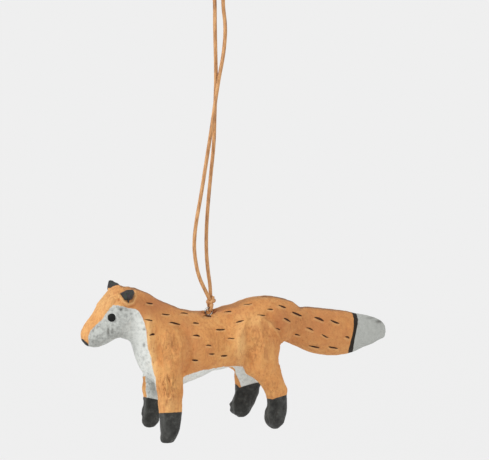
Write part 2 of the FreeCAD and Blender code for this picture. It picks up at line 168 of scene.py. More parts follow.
# The skin's painted areas, in pixels of the picture
PALE_FACE_OUTLINE = [
    (82.3, 340.9), (88.4, 345.2), (88.2, 337), (90.4, 330.8), (95.6, 325.4), (102, 319.7),
    (105.5, 314.1), (110, 307.9), (113.6, 305.2), (118, 305.2), (122.5, 306.1), (127.9, 307.9),
    (135.9, 309.6), (139.5, 312.3), (142.1, 316.8), (144.4, 323), (146.2, 331.1), (147.1, 340.9),
    (147.9, 348.9), (150.2, 355.2), (152, 363.2), (153.3, 372.1), (155.4, 377), (155.8, 386),
    (155, 440), (60, 440), (60, 330),
]
BELLY_LINE = [
    (140, 372), (155.4, 377), (182.5, 377.1), (200.9, 370.6), (222.6, 366.9), (237.8, 366.2),
    (262, 368), (292, 366),
]
INNER_LIMIT_MM = ([150, 157, 182, 187, 236, 243, 290], [20, 7.2, 7.2, 20, 20, 7.2, 7.2])
BAND_FRONT = [
    (350.7, 311), (352.8, 314.5), (353.7, 319), (353.7, 327.4), (352.4, 335), (350.7, 341.3),
    (348.2, 351.5),
]
BAND_BACK = [
    (354.6, 311), (356.8, 315), (358.0, 319.5), (357.6, 325), (356.2, 332), (354.7, 339.3),
    (352.7, 351.5),
]

# The pale chest as it shows past the near shoulder, and how far it goes round, in millimetres
FAR_CHEST = [(126, 338), (140, 344), (152, 350), (152, 376.5), (136, 376.5)]
FAR_CHEST_REACH = 11.4

# The upper edge of each paw's charcoal: pair of legs, side (-1 near, 1 far)
PAW_LINES = {
    ("front", -1): [(150, 413.4), (159.3, 413.1), (180.5, 412), (190, 411.6)],
    ("front", 1): [(138, 396.4), (143.5, 396.8), (151, 398.3), (158.7, 399.9), (170, 401)],
    ("hind", -1): [(258, 397.6), (267.7, 398.5), (272, 399.2), (286.1, 394.9), (296, 391)],
    ("hind", 1): [
        (228, 381), (236.2, 384.4), (239.5, 387.6), (249.3, 384.4), (259, 382.2), (270, 380),
    ],
}

# Where the legs start, how much height the change to the body takes, and how far along they stand
LEG_TOP = RING.z - 22 * MM
LEG_BLEND = 4 * MM
LEG_REACH = 42 * MM

# Bare pulp round the ring, the grey tip that starts under the band, and the depth given to points
# that a paint can't reach
BARE_REACH = (3.0 * MM, 2.0 * MM, 2.4 * MM)
BARE_DEPTH_MM = 2.5
TIP_UNDER_BAND = 1.5
OUTSIDE = -10.0

# The far flank's dashes start a little further back, clear of its chest, and differ a little from
# the near ones: aside and down in pixels, share of the length, tilt in degrees
CHEST_COLUMN = 156
FAR_CHEST_SHIFT = 7
FAR_ASIDE = (-3, 4)
FAR_DOWN = (-0.5, 2.5)
FAR_LENGTH = (0.85, 1.1)
FAR_TILT = (-8, 8)

# The rim of pulp round an ear's foot
EAR_RIM = [(119.5, 296), (123, 301), (128, 304.6), (132.8, 303), (135.4, 297), (135, 291.5)]

# Soft forms pressed into the pulp: pixels, half width in pixels, height in millimetres
RELIEF = [
    ([(149, 322), (150, 340), (151.5, 355), (154.5, 370), (158, 384), (160, 398)], 2.2, 0.55),
    ([(157, 344), (159.5, 358), (162.5, 374)], 2.6, -0.6),
    ([(170, 333), (170, 348), (172, 364)], 8.5, 1.1),
    ([(166.5, 334), (163.5, 350), (166, 368)], 2.0, 0.5),
    ([(174, 338), (171.5, 352), (175, 366)], 1.8, -0.5),
    ([(177, 331), (181.5, 345), (178.5, 362)], 2.2, 0.6),
    ([(180, 326), (188, 334), (193, 346), (190, 360), (185, 373)], 3.6, -1.2),
    ([(159.5, 374), (163, 380), (165.5, 391)], 1.3, -0.45),
    ([(168, 377), (170.5, 384), (169, 397)], 1.3, -0.5),
    ([(174.5, 375), (173, 391)], 1.3, -0.4),
    ([(179, 379), (177.5, 397)], 1.4, -0.35),
    ([(164, 393), (167.5, 404)], 1.4, -0.35),
    ([(174.5, 397), (176, 409)], 1.4, -0.45),
    ([(166, 377), (167.5, 392)], 1.2, 0.4),
    ([(171.5, 378), (174.5, 394)], 1.2, 0.4),
    ([(169.5, 399), (170.5, 410)], 1.6, 0.35),
    ([(256, 324), (259, 345), (265, 368)], 12.0, 0.9),
    ([(246, 320), (240, 334), (238.5, 350), (242, 368), (254, 384)], 2.4, 0.9),
    ([(247.5, 334), (246.5, 352), (251, 368)], 2.4, -0.55),
    ([(259, 318), (270, 324), (276, 332), (281, 341)], 2.0, 1.15),
    ([(268, 315), (279, 323), (285, 336)], 3.4, -1.35),
    ([(258, 322), (262, 336), (266, 350)], 2.4, 0.5),
    ([(253, 332), (255, 346), (259, 362)], 2.0, -0.4),
    ([(271, 332), (273.5, 352), (272, 376)], 2.2, 0.45),
    ([(267, 342), (269, 362), (266, 380)], 1.6, -0.4),
    ([(120.5, 298), (116, 301.5), (111.7, 306), (106, 314)], 1.6, -0.5),
    ([(121, 296), (113, 299), (105, 309)], 2.2, 0.35),
    (EAR_RIM, 1.3, 0.6),
    ([(118.5, 299), (122.5, 303.8), (127.5, 307), (134.5, 305.5)], 1.2, -0.4),
    ([(281, 366), (281.8, 370)], 1.4, 1.1),
    ([(271, 402), (269.5, 413), (271.5, 423)], 1.6, 0.8),
    ([(275.5, 403), (274.5, 420)], 1.6, -0.65),
    ([(281, 402), (280.5, 418)], 2.0, 0.35),
    ([(165.5, 414), (166.5, 431)], 1.6, 0.65),
    ([(171.5, 418), (172.5, 435)], 1.8, -0.55),
    ([(206, 330), (214, 350), (210, 366)], 5.0, 0.45),
    ([(226, 322), (228, 344), (224, 362)], 5.0, -0.55),
    ([(296, 327), (320, 335), (345, 341)], 3.0, 0.4),
    ([(300, 318), (330, 322), (348, 327)], 2.5, -0.35),
    ([(287, 310), (293, 321), (291, 333)], 3.0, -0.5),
    ([(357.5, 322), (370, 326), (381, 329)], 2.0, 0.25),
    ([(203.5, 315.4), (207, 316.2), (211, 316)], 0.9, -0.5),
]

# The same on the inner sides of the far legs, as the camera sees them
INNER_RELIEF = [
    ([(238, 392), (235, 404), (236.5, 413)], 1.8, 0.8),
    ([(243.5, 393), (241, 412)], 2.0, -0.6),
    ([(249, 388), (248, 406)], 2.0, 0.35),
    ([(147, 400), (146, 419)], 1.6, 0.6),
    ([(151.5, 402), (151, 422)], 2.0, -0.35),
    ([(150.5, 376), (152, 396)], 1.5, 0.35),
]

# How far the flank lies back, where it starts, and which way the skin faces where relief is pressed
FLANK_SINK_MM = -0.45
FLANK_START = (140, 160)
FLANK_FACING = (0.0, 0.55)
INNER_FACING = (0.1, 0.5)

# Lumps that the pulp has everywhere: width and height in millimetres
SKIN_LUMPS = [(7.0, 0.20), (2.6, 0.13), (1.2, 0.06)]
EAR_LUMPS = [(1.6, 0.10), (0.7, 0.05)]
EYE_LUMPS = [(0.9, 0.05)]

# A dash's boldness, then its groove, lip and light lower edge: half width in pixels, height or
# strength
DASH_BOLDNESS = 1.25
DASH_GROOVE = (1.1, -0.24)
DASH_LIP = (0.9, 0.16)
DASH_LIP_OFFSET = 1.5
DASH_LIGHT_EDGE = (0.75, 0.42)
DASH_LIGHT_EDGE_OFFSET = 0.7
# The painted highlight along an ear's rim: half width in pixels, strength
EAR_RIM_HIGHLIGHT = (1.3, 0.45)

# Small shifts of the form across the picture: pixel, reach, shift, side (-1 near, 1 far, 0 both)
NUDGES = [
    ((82, 342), (4, 4), (-0.1, 1.2), 0),
    ((80.5, 338.5), (3, 3), (-0.9, 0.2), 0),
    ((86, 321), (6, 7), (-0.5, -0.5), 0),
    ((90, 347), (9, 4), (0, 0.8), 0),
    ((100, 346), (8, 4), (0, 0.6), 0),
    ((101, 296), (9, 10), (0.9, 1.1), 0),
    ((106, 290), (4, 4), (0.5, 0.4), 0),
    ((130, 285), (6, 5), (0, 1.6), 0),
    ((139, 287.5), (5, 4), (0, 0.8), 0),
    ((150, 294), (8, 5), (0, -1.2), 0),
    ((180, 307), (12, 5), (0, 0.9), 0),
    ((208, 313.5), (6, 3), (0, 2.0), 0),
    ((254, 294), (14, 5), (0, 0.7), 0),
    ((288, 300), (4, 4), (0, 1.0), 0),
    ((299.5, 305.5), (3.5, 4), (0, 2.2), 0),
    ((222, 306), (9, 4), (0, -1.0), 0),
    ((346, 310), (7, 4), (0, -1.0), 0),
    ((381, 321), (7, 5), (0.8, -0.6), 0),
    ((350, 352), (16, 4), (0, 0.9), 0),
    ((384, 336), (5, 4), (0.6, 1.8), 0),
    ((284, 343), (3, 3), (-2.4, -1.0), 0),
    ((131, 348), (4, 8), (1.0, -0.5), 0),
    ((128, 343), (5, 12), (2.4, 0), 0),
    ((134, 360), (4, 8), (1.2, 0), 0),
    ((138.5, 379), (7, 12), (3.0, 0), 1),
    ((141, 422), (4, 6), (-1.3, 0), 1),
    ((141.5, 401), (3.5, 8), (2.4, 0), 1),
    ((157, 410), (4, 14), (2.4, 0), 1),
    ((157.5, 402), (4, 26), (1.6, 0), -1),
    ((157.5, 435), (4, 8), (1.7, 0), -1),
    ((181, 418), (3, 14), (1.1, 0), -1),
    ((183, 392), (3, 7), (1.6, 0), -1),
    ((178.5, 430), (3, 7), (0.9, 0), -1),
    ((230, 370.5), (4, 6), (4.4, 0), 1),
    ((229.5, 403.6), (2.6, 2.6), (-4.4, 0), 1),
    ((235, 386), (3, 5), (-1.0, 0), 1),
    ((230.5, 412), (3, 4), (-2.6, 0), 1),
    ((234, 417), (3, 2.5), (1.6, -0.6), 1),
    ((258.5, 393), (4, 6), (2.6, 0), 1),
    ((250, 373), (6, 6), (-4.4, 0.4), -1),
    ((244, 367.5), (3.5, 3.5), (-3.0, 0), -1),
    ((141, 372), (3, 3), (2.0, 0), 1),
    ((287, 414), (4, 10), (1.2, 0), -1),
    ((284, 424), (3, 4), (0.9, 0.6), -1),
    ((213, 372.5), (9, 3), (0, -1.8), 0),
    ((258, 383.5), (3, 4), (3.2, 0), 1),
    ((256, 403), (3, 5), (1.4, 0), 1),
    ((157.5, 421), (3, 4), (1.0, 0.9), 1),
    ((282, 369), (3, 4), (-0.4, 0), -1),
    ((286, 389), (3, 5), (1.8, 0), -1),
    ((265, 404), (3, 5), (1.4, 0), -1),
    ((270, 427), (3, 3), (1.8, 0), -1),
]
EAR_NUDGES = {
    "left": [
        ((129.5, 304.5), (4, 4), (-1.5, -3.4), 0),
        ((128.7, 303), (1.6, 1.6), (0, -1.0), 0),
        ((131.3, 301), (2.5, 2.5), (0.2, 0.4), 0),
        ((125, 299.5), (2.5, 2.5), (-1.3, 0.6), 0),
        ((126, 293), (4, 3), (0, -2.0), 0),
        ((130.5, 291.5), (4, 2.5), (0, -0.8), 0),
        ((133, 294), (3, 4), (1.6, -0.5), 0),
        ((131.5, 299), (3, 3), (0.9, -0.8), 0),
        ((122, 296), (3, 3), (-1.1, -1.2), 0),
    ],
    "right": [
        ((110, 286), (4, 4), (-2.5, 1.0), 0),
        ((111, 281), (2.5, 2.5), (-0.9, -0.4), 0),
        ((114.5, 281.5), (2.5, 2.5), (-0.3, 1.0), 0),
        ((108.5, 288), (3, 3), (0.2, 2.5), 0),
    ],
}

# The wire's bend at the throat, kept under the skin
WIRE_NUDGES = [((125, 340), (14, 10), (1.2, -4.5), 0)]

# Painted dashes: pixel of the middle, length in pixels, tilt in degrees, thickness in pixels
DASHES = [
    (149.5, 303.1, 6.5, 8, 1.6), (165.8, 314.2, 8.0, 5, 1.3), (184.2, 313.6, 7.5, 6, 1.4),
    (148.5, 320.1, 8.0, 10, 1.4), (174.9, 323.5, 11.0, 12, 1.5), (196.0, 323.3, 6.0, 6, 1.3),
    (152.1, 334.8, 5.2, -12, 2.2), (220.5, 329.4, 9.0, -3, 1.5), (196.4, 335.9, 7.0, 7, 1.5),
    (228.0, 311.8, 7.0, -4, 1.4), (240.0, 321.4, 8.5, -14, 1.4), (231.3, 338.5, 6.5, 4, 1.1),
    (208.7, 345.6, 5.0, 2, 1.4), (211.8, 353.9, 5.5, 0, 1.3), (224.1, 355.8, 6.5, -4, 1.6),
    (195.1, 360.2, 6.0, 3, 1.7), (247.8, 303.8, 8.5, -4, 1.1), (261.2, 315.1, 8.0, 4, 1.1),
    (270.1, 309.2, 6.0, 3, 1.2), (263.8, 296.9, 7.0, 2, 1.0), (282.2, 306.4, 8.0, 20, 1.7),
    (297.0, 314.0, 10.5, 22, 1.9), (287.2, 320.1, 7.5, 30, 1.5), (277.9, 329.0, 4.5, 20, 1.3),
    (297.4, 335.0, 5.5, 14, 1.3), (309.8, 329.2, 7.5, 24, 1.4), (319.1, 319.2, 10.0, 22, 2.0),
    (334.9, 321.6, 9.5, 22, 1.7), (325.0, 335.9, 7.5, 28, 1.4), (347.3, 337.6, 4.5, 20, 1.8),
    (314.1, 346.7, 11.0, 12, 1.6), (333.2, 347.6, 9.5, 10, 1.5), (207.2, 316.3, 8.0, 4, 1.8),
]
DASH_STEPS = 8
DASH_BEND = 0.6
DASH_LEADS = (0.65, 0.8, 1.0, 1.3, 1.6)

# The dark pad along the muzzle's tip
NOSE_STROKE = [(81.4, 339.8), (82.6, 341.6), (84.4, 343.0), (86.2, 344.4), (87.8, 345.4)]
NOSE_PARTS = 4
NOSE_LANES = 9
NOSE_THICKNESS = 2.5

# The almond form of a brush stroke: where it starts, its run, its fullness and its crown
STROKE_START = 0.06
STROKE_RUN = 0.88
STROKE_FULLNESS = 0.7
STROKE_CROWN = 0.3

# Tints of the coat, mirrored to the far side, some of them painted light: pixel, reach in pixels,
# strength
COAT_PATCHES = {
    # Brown paint along back and tail, with painted shade behind the shoulder and in the haunch's
    # hollow
    "browned": [
        ((150, 306), (26, 14), 1.0), ((178, 322), (22, 9), 0.45), ((232, 310), (30, 7), 0.45),
        ((283, 316), (16, 14), 0.7), ((310, 322), (40, 22), 0.6), ((340, 335), (26, 26), 0.5),
        ((170, 352), (13, 22), 0.14), ((259, 342), (14, 26), 0.14), ((203, 313), (8, 6), 0.4),
        ((196, 348), (7, 16), 0.45), ((205, 372), (20, 5), 0.3),
    ],
    # Yellow ochre laid as painted highlight on the lit faces of forehead, muzzle, shoulder, haunch
    # and front leg
    "sunned": [
        ((105, 305), (20, 18), 0.5), ((86, 330), (9, 14), 0.36), ((152, 362), (4.2, 22), 1.0),
        ((148.5, 335), (3.5, 16), 0.9), ((270, 325), (4, 4), 0.4), ((241, 345), (5, 24), 0.7),
        ((256, 322), (10, 8), 0.3), ((168, 340), (8, 10), 0.04), ((170, 404), (9, 9), 0.4),
    ],
    "reddened": [
        ((219, 310.5), (5, 1.8), 0.6), ((201.5, 313), (3, 1.8), 0.5), ((272, 345), (10, 16), 0.15),
        ((165, 300), (12, 7), 0.35), ((188, 340), (5, 18), 0.35), ((282, 325), (8, 10), 0.4),
        ((316, 330), (22, 14), 0.25), ((192, 366), (12, 6), 0.3),
    ],
    "wrinkled": [
        ((168, 388), (11, 16), 1.0), ((170, 352), (13, 20), 0.6), ((258, 345), (17, 24), 0.5),
        ((272, 390), (10, 12), 0.5), ((147, 385), (5, 10), 0.4), ((215, 345), (16, 18), 0.3),
        ((300, 322), (14, 10), 0.35), ((110, 296), (14, 9), 0.3),
    ],
}

# Dark smudges and light dry brushing on paws and pale paint, as the camera sees them; some dark
# ones, as on the far chest, are painted shade, and the light ones on the paws' left sides are
# painted highlight
SEEN_PATCHES = {
    # Dark smudges, some of them painted shade, as on the far chest
    "sooted": [
        ((108.2, 331.5), (1.2, 4.5), 0.95), ((112.3, 331), (1.1, 3.2), 0.8),
        ((126.5, 310.3), (2.2, 1.0), 0.7), ((121.2, 309.3), (1.4, 1.8), 1.0),
        ((131.5, 313.8), (1.5, 0.9), 0.6), ((144, 329.5), (1.5, 1.0), 0.8),
        ((144, 345), (1.1, 2.4), 0.8), ((143.6, 358), (1.1, 1.6), 0.6), ((127, 324), (3, 1.2), 0.3),
        ((95, 343), (8, 2.5), 0.3), ((150, 388), (6, 12), 0.12), ((118, 335), (8, 2.5), 0.3),
        ((379.5, 321.5), (4.5, 1.8), 0.8), ((370, 318), (4, 1.3), 0.5),
        ((277.5, 405), (2.5, 2.5), 0.8), ((243, 394), (2, 2), 0.7), ((148, 420), (2.5, 2), 0.8),
        ((176, 428), (4, 6), 0.4), ((150, 402), (4, 3), 0.5),
    ],
    # Light dry brushing on the paws, with painted highlight on their lit left sides
    "scuffed": [
        ((163.5, 424), (2.5, 12), 0.5), ((168, 432), (4, 6), 0.5), ((268, 411), (2.0, 9), 0.75),
        ((233, 405), (2.2, 8), 0.6), ((145.5, 409), (1.8, 9), 0.55), ((281, 412), (1.5, 7), 0.3),
    ],
}
# Painted shade on the far chest, under the near front leg
SHADED = [((150, 388), (7, 14), 0.75)]

# Columns where the grey of the face ends, the white of the chest starts, and the tail starts
CHEST_TONES = (118, 142, 340)

# How often the surface is averaged to find its hollows and its top edge
HOLLOW_ROUNDS = 6
RIDGE_ROUNDS = 14

# The top edge of the back, darkened as painted shade: its tilt, its rise and its darkness along the
# picture
RIDGE_TILT = (0.04, 0.44)
RIDGE_RISE = (0.4, 0.7)
RIDGE_SHADE = (
    [119, 121, 124, 126, 134, 180, 200, 215, 262, 275, 300, 350, 354],
    [0.0, 0.8, 0.8, 0.2, 0.85, 0.75, 0.4, 0.3, 0.4, 0.95, 0.95, 0.7, 0.0],
)


def view_axes():
    """The camera's right, up and back directions."""
    azimuth, elevation, roll = VIEW_AZIMUTH, VIEW_ELEVATION, VIEW_ROLL
    flat = Vector((math.sin(azimuth), -math.cos(azimuth), 0))
    back = flat * math.cos(elevation) + Vector((0, 0, math.sin(elevation)))
    level = Vector((math.cos(azimuth), math.sin(azimuth), 0))
    upright = back.cross(level)
    right = level * math.cos(roll) + upright * math.sin(roll)
    up = upright * math.cos(roll) - level * math.sin(roll)
    return right, up, back


RIGHT, UP, BACK = view_axes()
ACROSS = (PICTURE_WIDTH / 2 - RING_PIXEL[0]) * PIXEL
DOWN = (PICTURE_HEIGHT / 2 - RING_PIXEL[1]) * PIXEL
CAMERA_PLACE = RING + RIGHT * ACROSS - UP * DOWN + BACK * VIEW_DISTANCE


def in_picture(points):
    """The pixel that each point of the frame falls on."""
    rays = points - np.array(CAMERA_PLACE)
    enlarge = VIEW_DISTANCE / PIXEL / -(rays @ np.array(BACK))
    across = PICTURE_WIDTH / 2 + rays @ np.array(RIGHT) * enlarge
    down = PICTURE_HEIGHT / 2 - rays @ np.array(UP) * enlarge
    return np.column_stack((across, down))


def sight_line(pixel):
    """The direction from the camera through a pixel."""
    across = (pixel[0] - PICTURE_WIDTH / 2) * PIXEL
    down = (pixel[1] - PICTURE_HEIGHT / 2) * PIXEL
    return (RIGHT * across - UP * down - BACK * VIEW_DISTANCE).normalized()


def line_distance(points, line):
    """The pixels from each point to a line of pixels."""
    best = np.full(len(points), np.inf)
    for start, end in zip(line, line[1:]):
        start = np.array(start, float)
        run = np.array(end, float) - start
        share = np.clip((points - start) @ run / (run @ run), 0, 1)
        away = points - start - share[:, None] * run
        best = np.minimum(best, np.linalg.norm(away, axis=1))
    return best


def patch_depth(points, outline):
    """How far each point lies inside an outline of pixels, below zero outside."""
    closed = outline + outline[:1]
    inside = np.zeros(len(points), bool)
    for (x0, y0), (x1, y1) in zip(closed, closed[1:]):
        if y0 != y1:
            spans = (points[:, 1] < y0) != (points[:, 1] < y1)
            inside ^= spans & (points[:, 0] < x0 + (points[:, 1] - y0) * (x1 - x0) / (y1 - y0))
    distance = line_distance(points, closed)
    return np.where(inside, distance, -distance)


def smooth_step(values, low, high):
    """0 below low, 1 above high and a soft rise between."""
    share = np.clip((values - low) / (high - low), 0, 1)
    return share * share * (3 - 2 * share)


def new_object(name, form, smooth=True):
    """An object from a bmesh, which is freed."""
    mesh = bpy.data.meshes.new(name)
    form.to_mesh(mesh)
    form.free()
    piece = bpy.data.objects.new(name, mesh)
    bpy.context.scene.collection.objects.link(piece)
    if smooth:
        mesh.shade_smooth()
    return piece


def set_material(piece, material):
    """Gives a piece one material."""
    piece.data.materials.clear()
    piece.data.materials.append(material)


def finished_piece(name, form, material):
    """An object with one material, from a form whose faces are turned outwards."""
    bmesh.ops.recalc_face_normals(form, faces=form.faces)
    piece = new_object(name, form)
    set_material(piece, material)
    return piece


def solid_form(node):
    """A CAD solid's surface, with its loose triangles joined."""
    form = bmesh.new()
    form.from_mesh(frame["nodes"][node].data)
    bmesh.ops.remove_doubles(form, verts=form.verts, dist=WELD)
    return form


def smooth_out(form, verts, rounds=1):
    """Evens out some of a form's vertices."""
    for _ in range(rounds):
        bmesh.ops.smooth_vert(
            form, verts=verts, factor=0.5, use_axis_x=True, use_axis_y=True, use_axis_z=True
        )


def move_points(mesh, places):
    """Puts a mesh's vertices at new places."""
    mesh.vertices.foreach_set("co", places.astype(np.float32).ravel())
    mesh.update()


def lump_height(place, lumps):
    """How much the surface is uneven at a place, from widths and heights in millimetres."""
    return sum(noise.noise(place / (width * MM)) * rise for width, rise in lumps)


# Materials


class Nodes:
    """The nodes of a material or a world, added one after another."""

    def __init__(self, owner, colours):
        owner.use_nodes = True
        self.tree = owner.node_tree
        self.colours = colours

    def tone(self, colour):
        """A paint's red, green and blue by its name, or a value as it is."""
        return tuple(getattr(self.colours, colour)) if isinstance(colour, str) else colour

    def feed(self, socket, value):
        """Links an output to a socket, or sets a paint or a plain value on it."""
        value = self.tone(value)
        if isinstance(value, bpy.types.NodeSocket):
            self.tree.links.new(value, socket)
        elif isinstance(value, tuple) and socket.type == "RGBA":
            socket.default_value = (*value, 1)
        else:
            socket.default_value = value

    def add(self, kind, output, sockets=(), **settings):
        """A new node with its settings made and its sockets fed, told by its output."""
        node = self.tree.nodes.new("ShaderNode" + kind)
        for name, value in settings.items():
            setattr(node, name, value)
        for name, value in dict(sockets).items():
            self.feed(node.inputs[name], value)
        return node.outputs[output]

    def math(self, operation, *values):
        """A sum of up to three numbers or outputs."""
        return self.add("Math", 0, enumerate(values), operation=operation)

    def rise(self, value, low, high, start=0.0, end=1.0, shape="SMOOTHSTEP"):
        """A soft change from start to end as a value goes from low to high."""
        return self.add("MapRange", "Result", {
            "Value": value, "From Min": low, "From Max": high, "To Min": start, "To Max": end,
        }, interpolation_type=shape)

    def show(self, output, factor, first, second):
        """Mixes two shaders into the one that is seen."""
        mixed = self.add("MixShader", "Shader", {"Fac": factor, 1: first, 2: second})
        self.feed(self.tree.nodes[output].inputs["Surface"], mixed)


class Recipe(Nodes):
    """The nodes of one painted, leather or metal finish."""

    def __init__(self, name, colours, roughness, specular):
        self.material = bpy.data.materials.new(name)
        super().__init__(self.material, colours)
        self.shader = self.tree.nodes["Principled BSDF"]
        self.shader.inputs["Roughness"].default_value = roughness
        self.shader.inputs["Specular IOR Level"].default_value = specular
        self.place = self.add("TexCoord", "Object")

    def attribute(self, name):
        """A number that the mesh carries at each point."""
        return self.add("Attribute", "Fac", attribute_name=name)

    def stretched(self, scale):
        """The piece's own coordinates, scaled unevenly for grain and strokes."""
        return self.add("Mapping", "Vector", {"Vector": self.place, "Scale": scale})

    def noise(self, size_mm, detail=3.0, roughness=0.55, warp=0.0, place=None):
        """Soft random spots of about this size."""
        return self.add("TexNoise", "Fac", {
            "Vector": place or self.place, "Scale": 1 / (size_mm * MM), "Detail": detail,
            "Roughness": roughness, "Distortion": warp,
        })

    def cells(self, size_mm, feature="F1"):
        """The distance to scattered points of about this spacing."""
        sockets = {"Vector": self.place, "Scale": 1 / (size_mm * MM)}
        return self.add("TexVoronoi", "Distance", sockets, feature=feature)

    def ramp(self, value, *stops):
        """A colour for each value, from (value, colour) stops."""
        colour = self.add("ValToRGB", "Color", {"Fac": value})
        elements = colour.node.color_ramp.elements
        while len(elements) < len(stops):
            elements.new(0.5)
        for element, (position, paint_name) in zip(elements, stops):
            element.position = position
            element.color = (*self.tone(paint_name), 1)
        return colour

    def blend(self, factor, first, second):
        """One colour laid over another."""
        return self.add("Mix", 2, {"Factor": factor, 6: first, 7: second}, data_type="RGBA")

    def bump(self, height, depth_mm, normal=None):
        """Relief of about this depth, from a value of 0 to 1."""
        sockets = {"Strength": 1.0, "Distance": depth_mm * MM, "Height": height}
        if normal:
            sockets["Normal"] = normal
        return self.add("Bump", "Normal", sockets)

    def finish(self, colour, roughness=None, normal=None):
        """The material, with its colour, roughness and relief joined to the shader."""
        for name, value in (("Base Color", colour), ("Roughness", roughness), ("Normal", normal)):
            if value is not None:
                self.feed(self.shader.inputs[name], value)
        return self.material


def painted_edge(recipe, name, softness_mm=0.16, wobble_mm=0.9):
    """Where a paint lies, with a brushed edge, from how deep a point is inside it."""
    depth = recipe.attribute(name)
    wander = recipe.math("SUBTRACT", recipe.noise(2.4, 4.0, 0.6), 0.5)
    moved = recipe.math("MULTIPLY_ADD", wander, wobble_mm, depth)
    return recipe.rise(moved, -softness_mm, softness_mm)


def skin_material(colours):
    """Matt paint on lumpy pulp: ochre coat, pale face and belly, charcoal paws, black band."""
    recipe = Recipe("painted_pulp_skin", colours, 0.82, 0.25)
    broad = recipe.noise(9.0, 3.0, 0.5)
    patchy = recipe.noise(2.6, 5.0, 0.62, 0.6)
    fine = recipe.noise(0.75, 4.0, 0.6)
    strokes = recipe.noise(1.0, 4.0, 0.6, 0.3, recipe.stretched((1, 1, 0.22)))
    mixed = recipe.math("MULTIPLY_ADD", broad, 0.45, recipe.math("MULTIPLY", patchy, 0.55))
    coat = recipe.ramp(mixed, (0.30, "ochre_deep"), (0.47, "ochre"), (0.62, "ochre_light"))
    brown = recipe.blend(recipe.rise(patchy, 0.35, 0.7, 0.0, 0.5), "brown", "ochre_deep")
    # Brown paint along back and tail, with painted shade behind the shoulder and in the haunch's
    # hollow
    coat = recipe.blend(recipe.attribute("browned"), coat, brown)
    coat = recipe.blend(recipe.attribute("reddened"), coat, "reddish")
    # Painted highlight: yellow ochre on the lit faces of forehead, muzzle, shoulder, haunch and
    # front leg
    coat = recipe.blend(recipe.attribute("sunned"), coat, "ochre_yellow")
    wash = recipe.math("MULTIPLY", recipe.rise(strokes, 0.48, 0.64), 0.5)
    coat = recipe.blend(wash, coat, "brown")
    specks = recipe.rise(fine, 0.30, 0.40, 0.6, 0.0)
    coat = recipe.blend(specks, coat, "russet")
    # Painted highlight in light ochre on the ridges, and painted shade in russet in the hollows
    hollow = recipe.attribute("hollow")
    coat = recipe.blend(recipe.rise(hollow, -0.20, -0.03, 0.5, 0.0), coat, "ochre_light")
    coat = recipe.blend(recipe.rise(hollow, 0.04, 0.28, 0.0, 0.6), coat, "russet")
    # Thin crease lines in the wrinkled places, darkened in russet as painted shade beside their
    # bump
    grain = recipe.noise(1.5, 2.0, 0.5, 1.2, recipe.stretched((1, 1, 0.30)))
    off_middle = recipe.math("ABSOLUTE", recipe.math("SUBTRACT", grain, 0.5))
    crease = recipe.rise(off_middle, 0.0, 0.04, 1.0, 0.0)
    folded = recipe.math("MULTIPLY", crease, recipe.attribute("wrinkled"))
    coat = recipe.blend(recipe.math("MULTIPLY", folded, 0.7), coat, "russet")
    # Lighter ochre under each dash, and a painted highlight along the ears' rims
    coat = recipe.blend(recipe.attribute("chipped"), coat, "chip")
    # Painted shade along the top edge of the back
    coat = recipe.blend(recipe.attribute("ridge"), coat, "ridge")
    coat = recipe.blend(painted_edge(recipe, "bare"), coat, "bare")

    mottle = recipe.noise(1.5, 5.0, 0.7, 0.4)
    pits = recipe.rise(recipe.cells(1.7), 0.10, 0.42, 0.6, 0.0)
    chest = recipe.ramp(mottle, (0.30, "pale_grey"), (0.52, "pale"))
    greyed = recipe.ramp(mottle, (0.34, "mottle"), (0.50, "face"), (0.68, "pale_grey"))
    flecks = recipe.rise(recipe.noise(0.8, 3.0, 0.6), 0.60, 0.70, 0.0, 0.4)
    greyed = recipe.blend(flecks, greyed, "mottle")
    pale = recipe.blend(recipe.attribute("greyed"), chest, greyed)
    pale = recipe.blend(recipe.math("MULTIPLY", pits, 0.35), pale, "mottle")
    tip = recipe.ramp(mottle, (0.30, "tip_grey"), (0.60, "tip"))
    pale = recipe.blend(recipe.rise(recipe.attribute("tip"), -0.3, -0.1), pale, tip)
    uneven = recipe.rise(patchy, 0.30, 0.50, 0.4, 1.0)
    # Dark smudges on the pale paint, some of them painted shade
    smudge = recipe.math("MULTIPLY", recipe.attribute("sooted"), uneven)
    pale = recipe.blend(smudge, pale, "smudge")
    coat = recipe.blend(painted_edge(recipe, "pale", 0.14, 1.1), coat, pale)

    rubbed = recipe.noise(2.2, 5.0, 0.65)
    # The paws' charcoal: light dry brushing with painted highlight on their lit left sides, and
    # dark smudges
    sooty = recipe.ramp(rubbed, (0.32, "soot"), (0.55, "charcoal"), (0.72, "scuffed"))
    sooty = recipe.blend(recipe.attribute("scuffed"), sooty, "scuffed")
    sooty = recipe.blend(recipe.attribute("sooted"), sooty, "soot")
    coat = recipe.blend(painted_edge(recipe, "paw", 0.10, 0.5), coat, sooty)
    coat = recipe.blend(painted_edge(recipe, "band", 0.08, 0.5), coat, "band")

    pulp = recipe.math("MULTIPLY_ADD", fine, 0.5, recipe.math("MULTIPLY", strokes, 0.5))
    normal = recipe.bump(recipe.cells(2.4), 0.42)
    normal = recipe.bump(pulp, 0.45, normal)
    normal = recipe.bump(recipe.math("MULTIPLY", folded, -1.0), 0.25, normal)
    normal = recipe.bump(recipe.noise(0.30, 3.0, 0.6), 0.05, normal)
    rough = recipe.rise(recipe.attribute("paw"), -0.1, 0.1, 0.84, 0.50)
    return recipe.finish(coat, rough, normal)


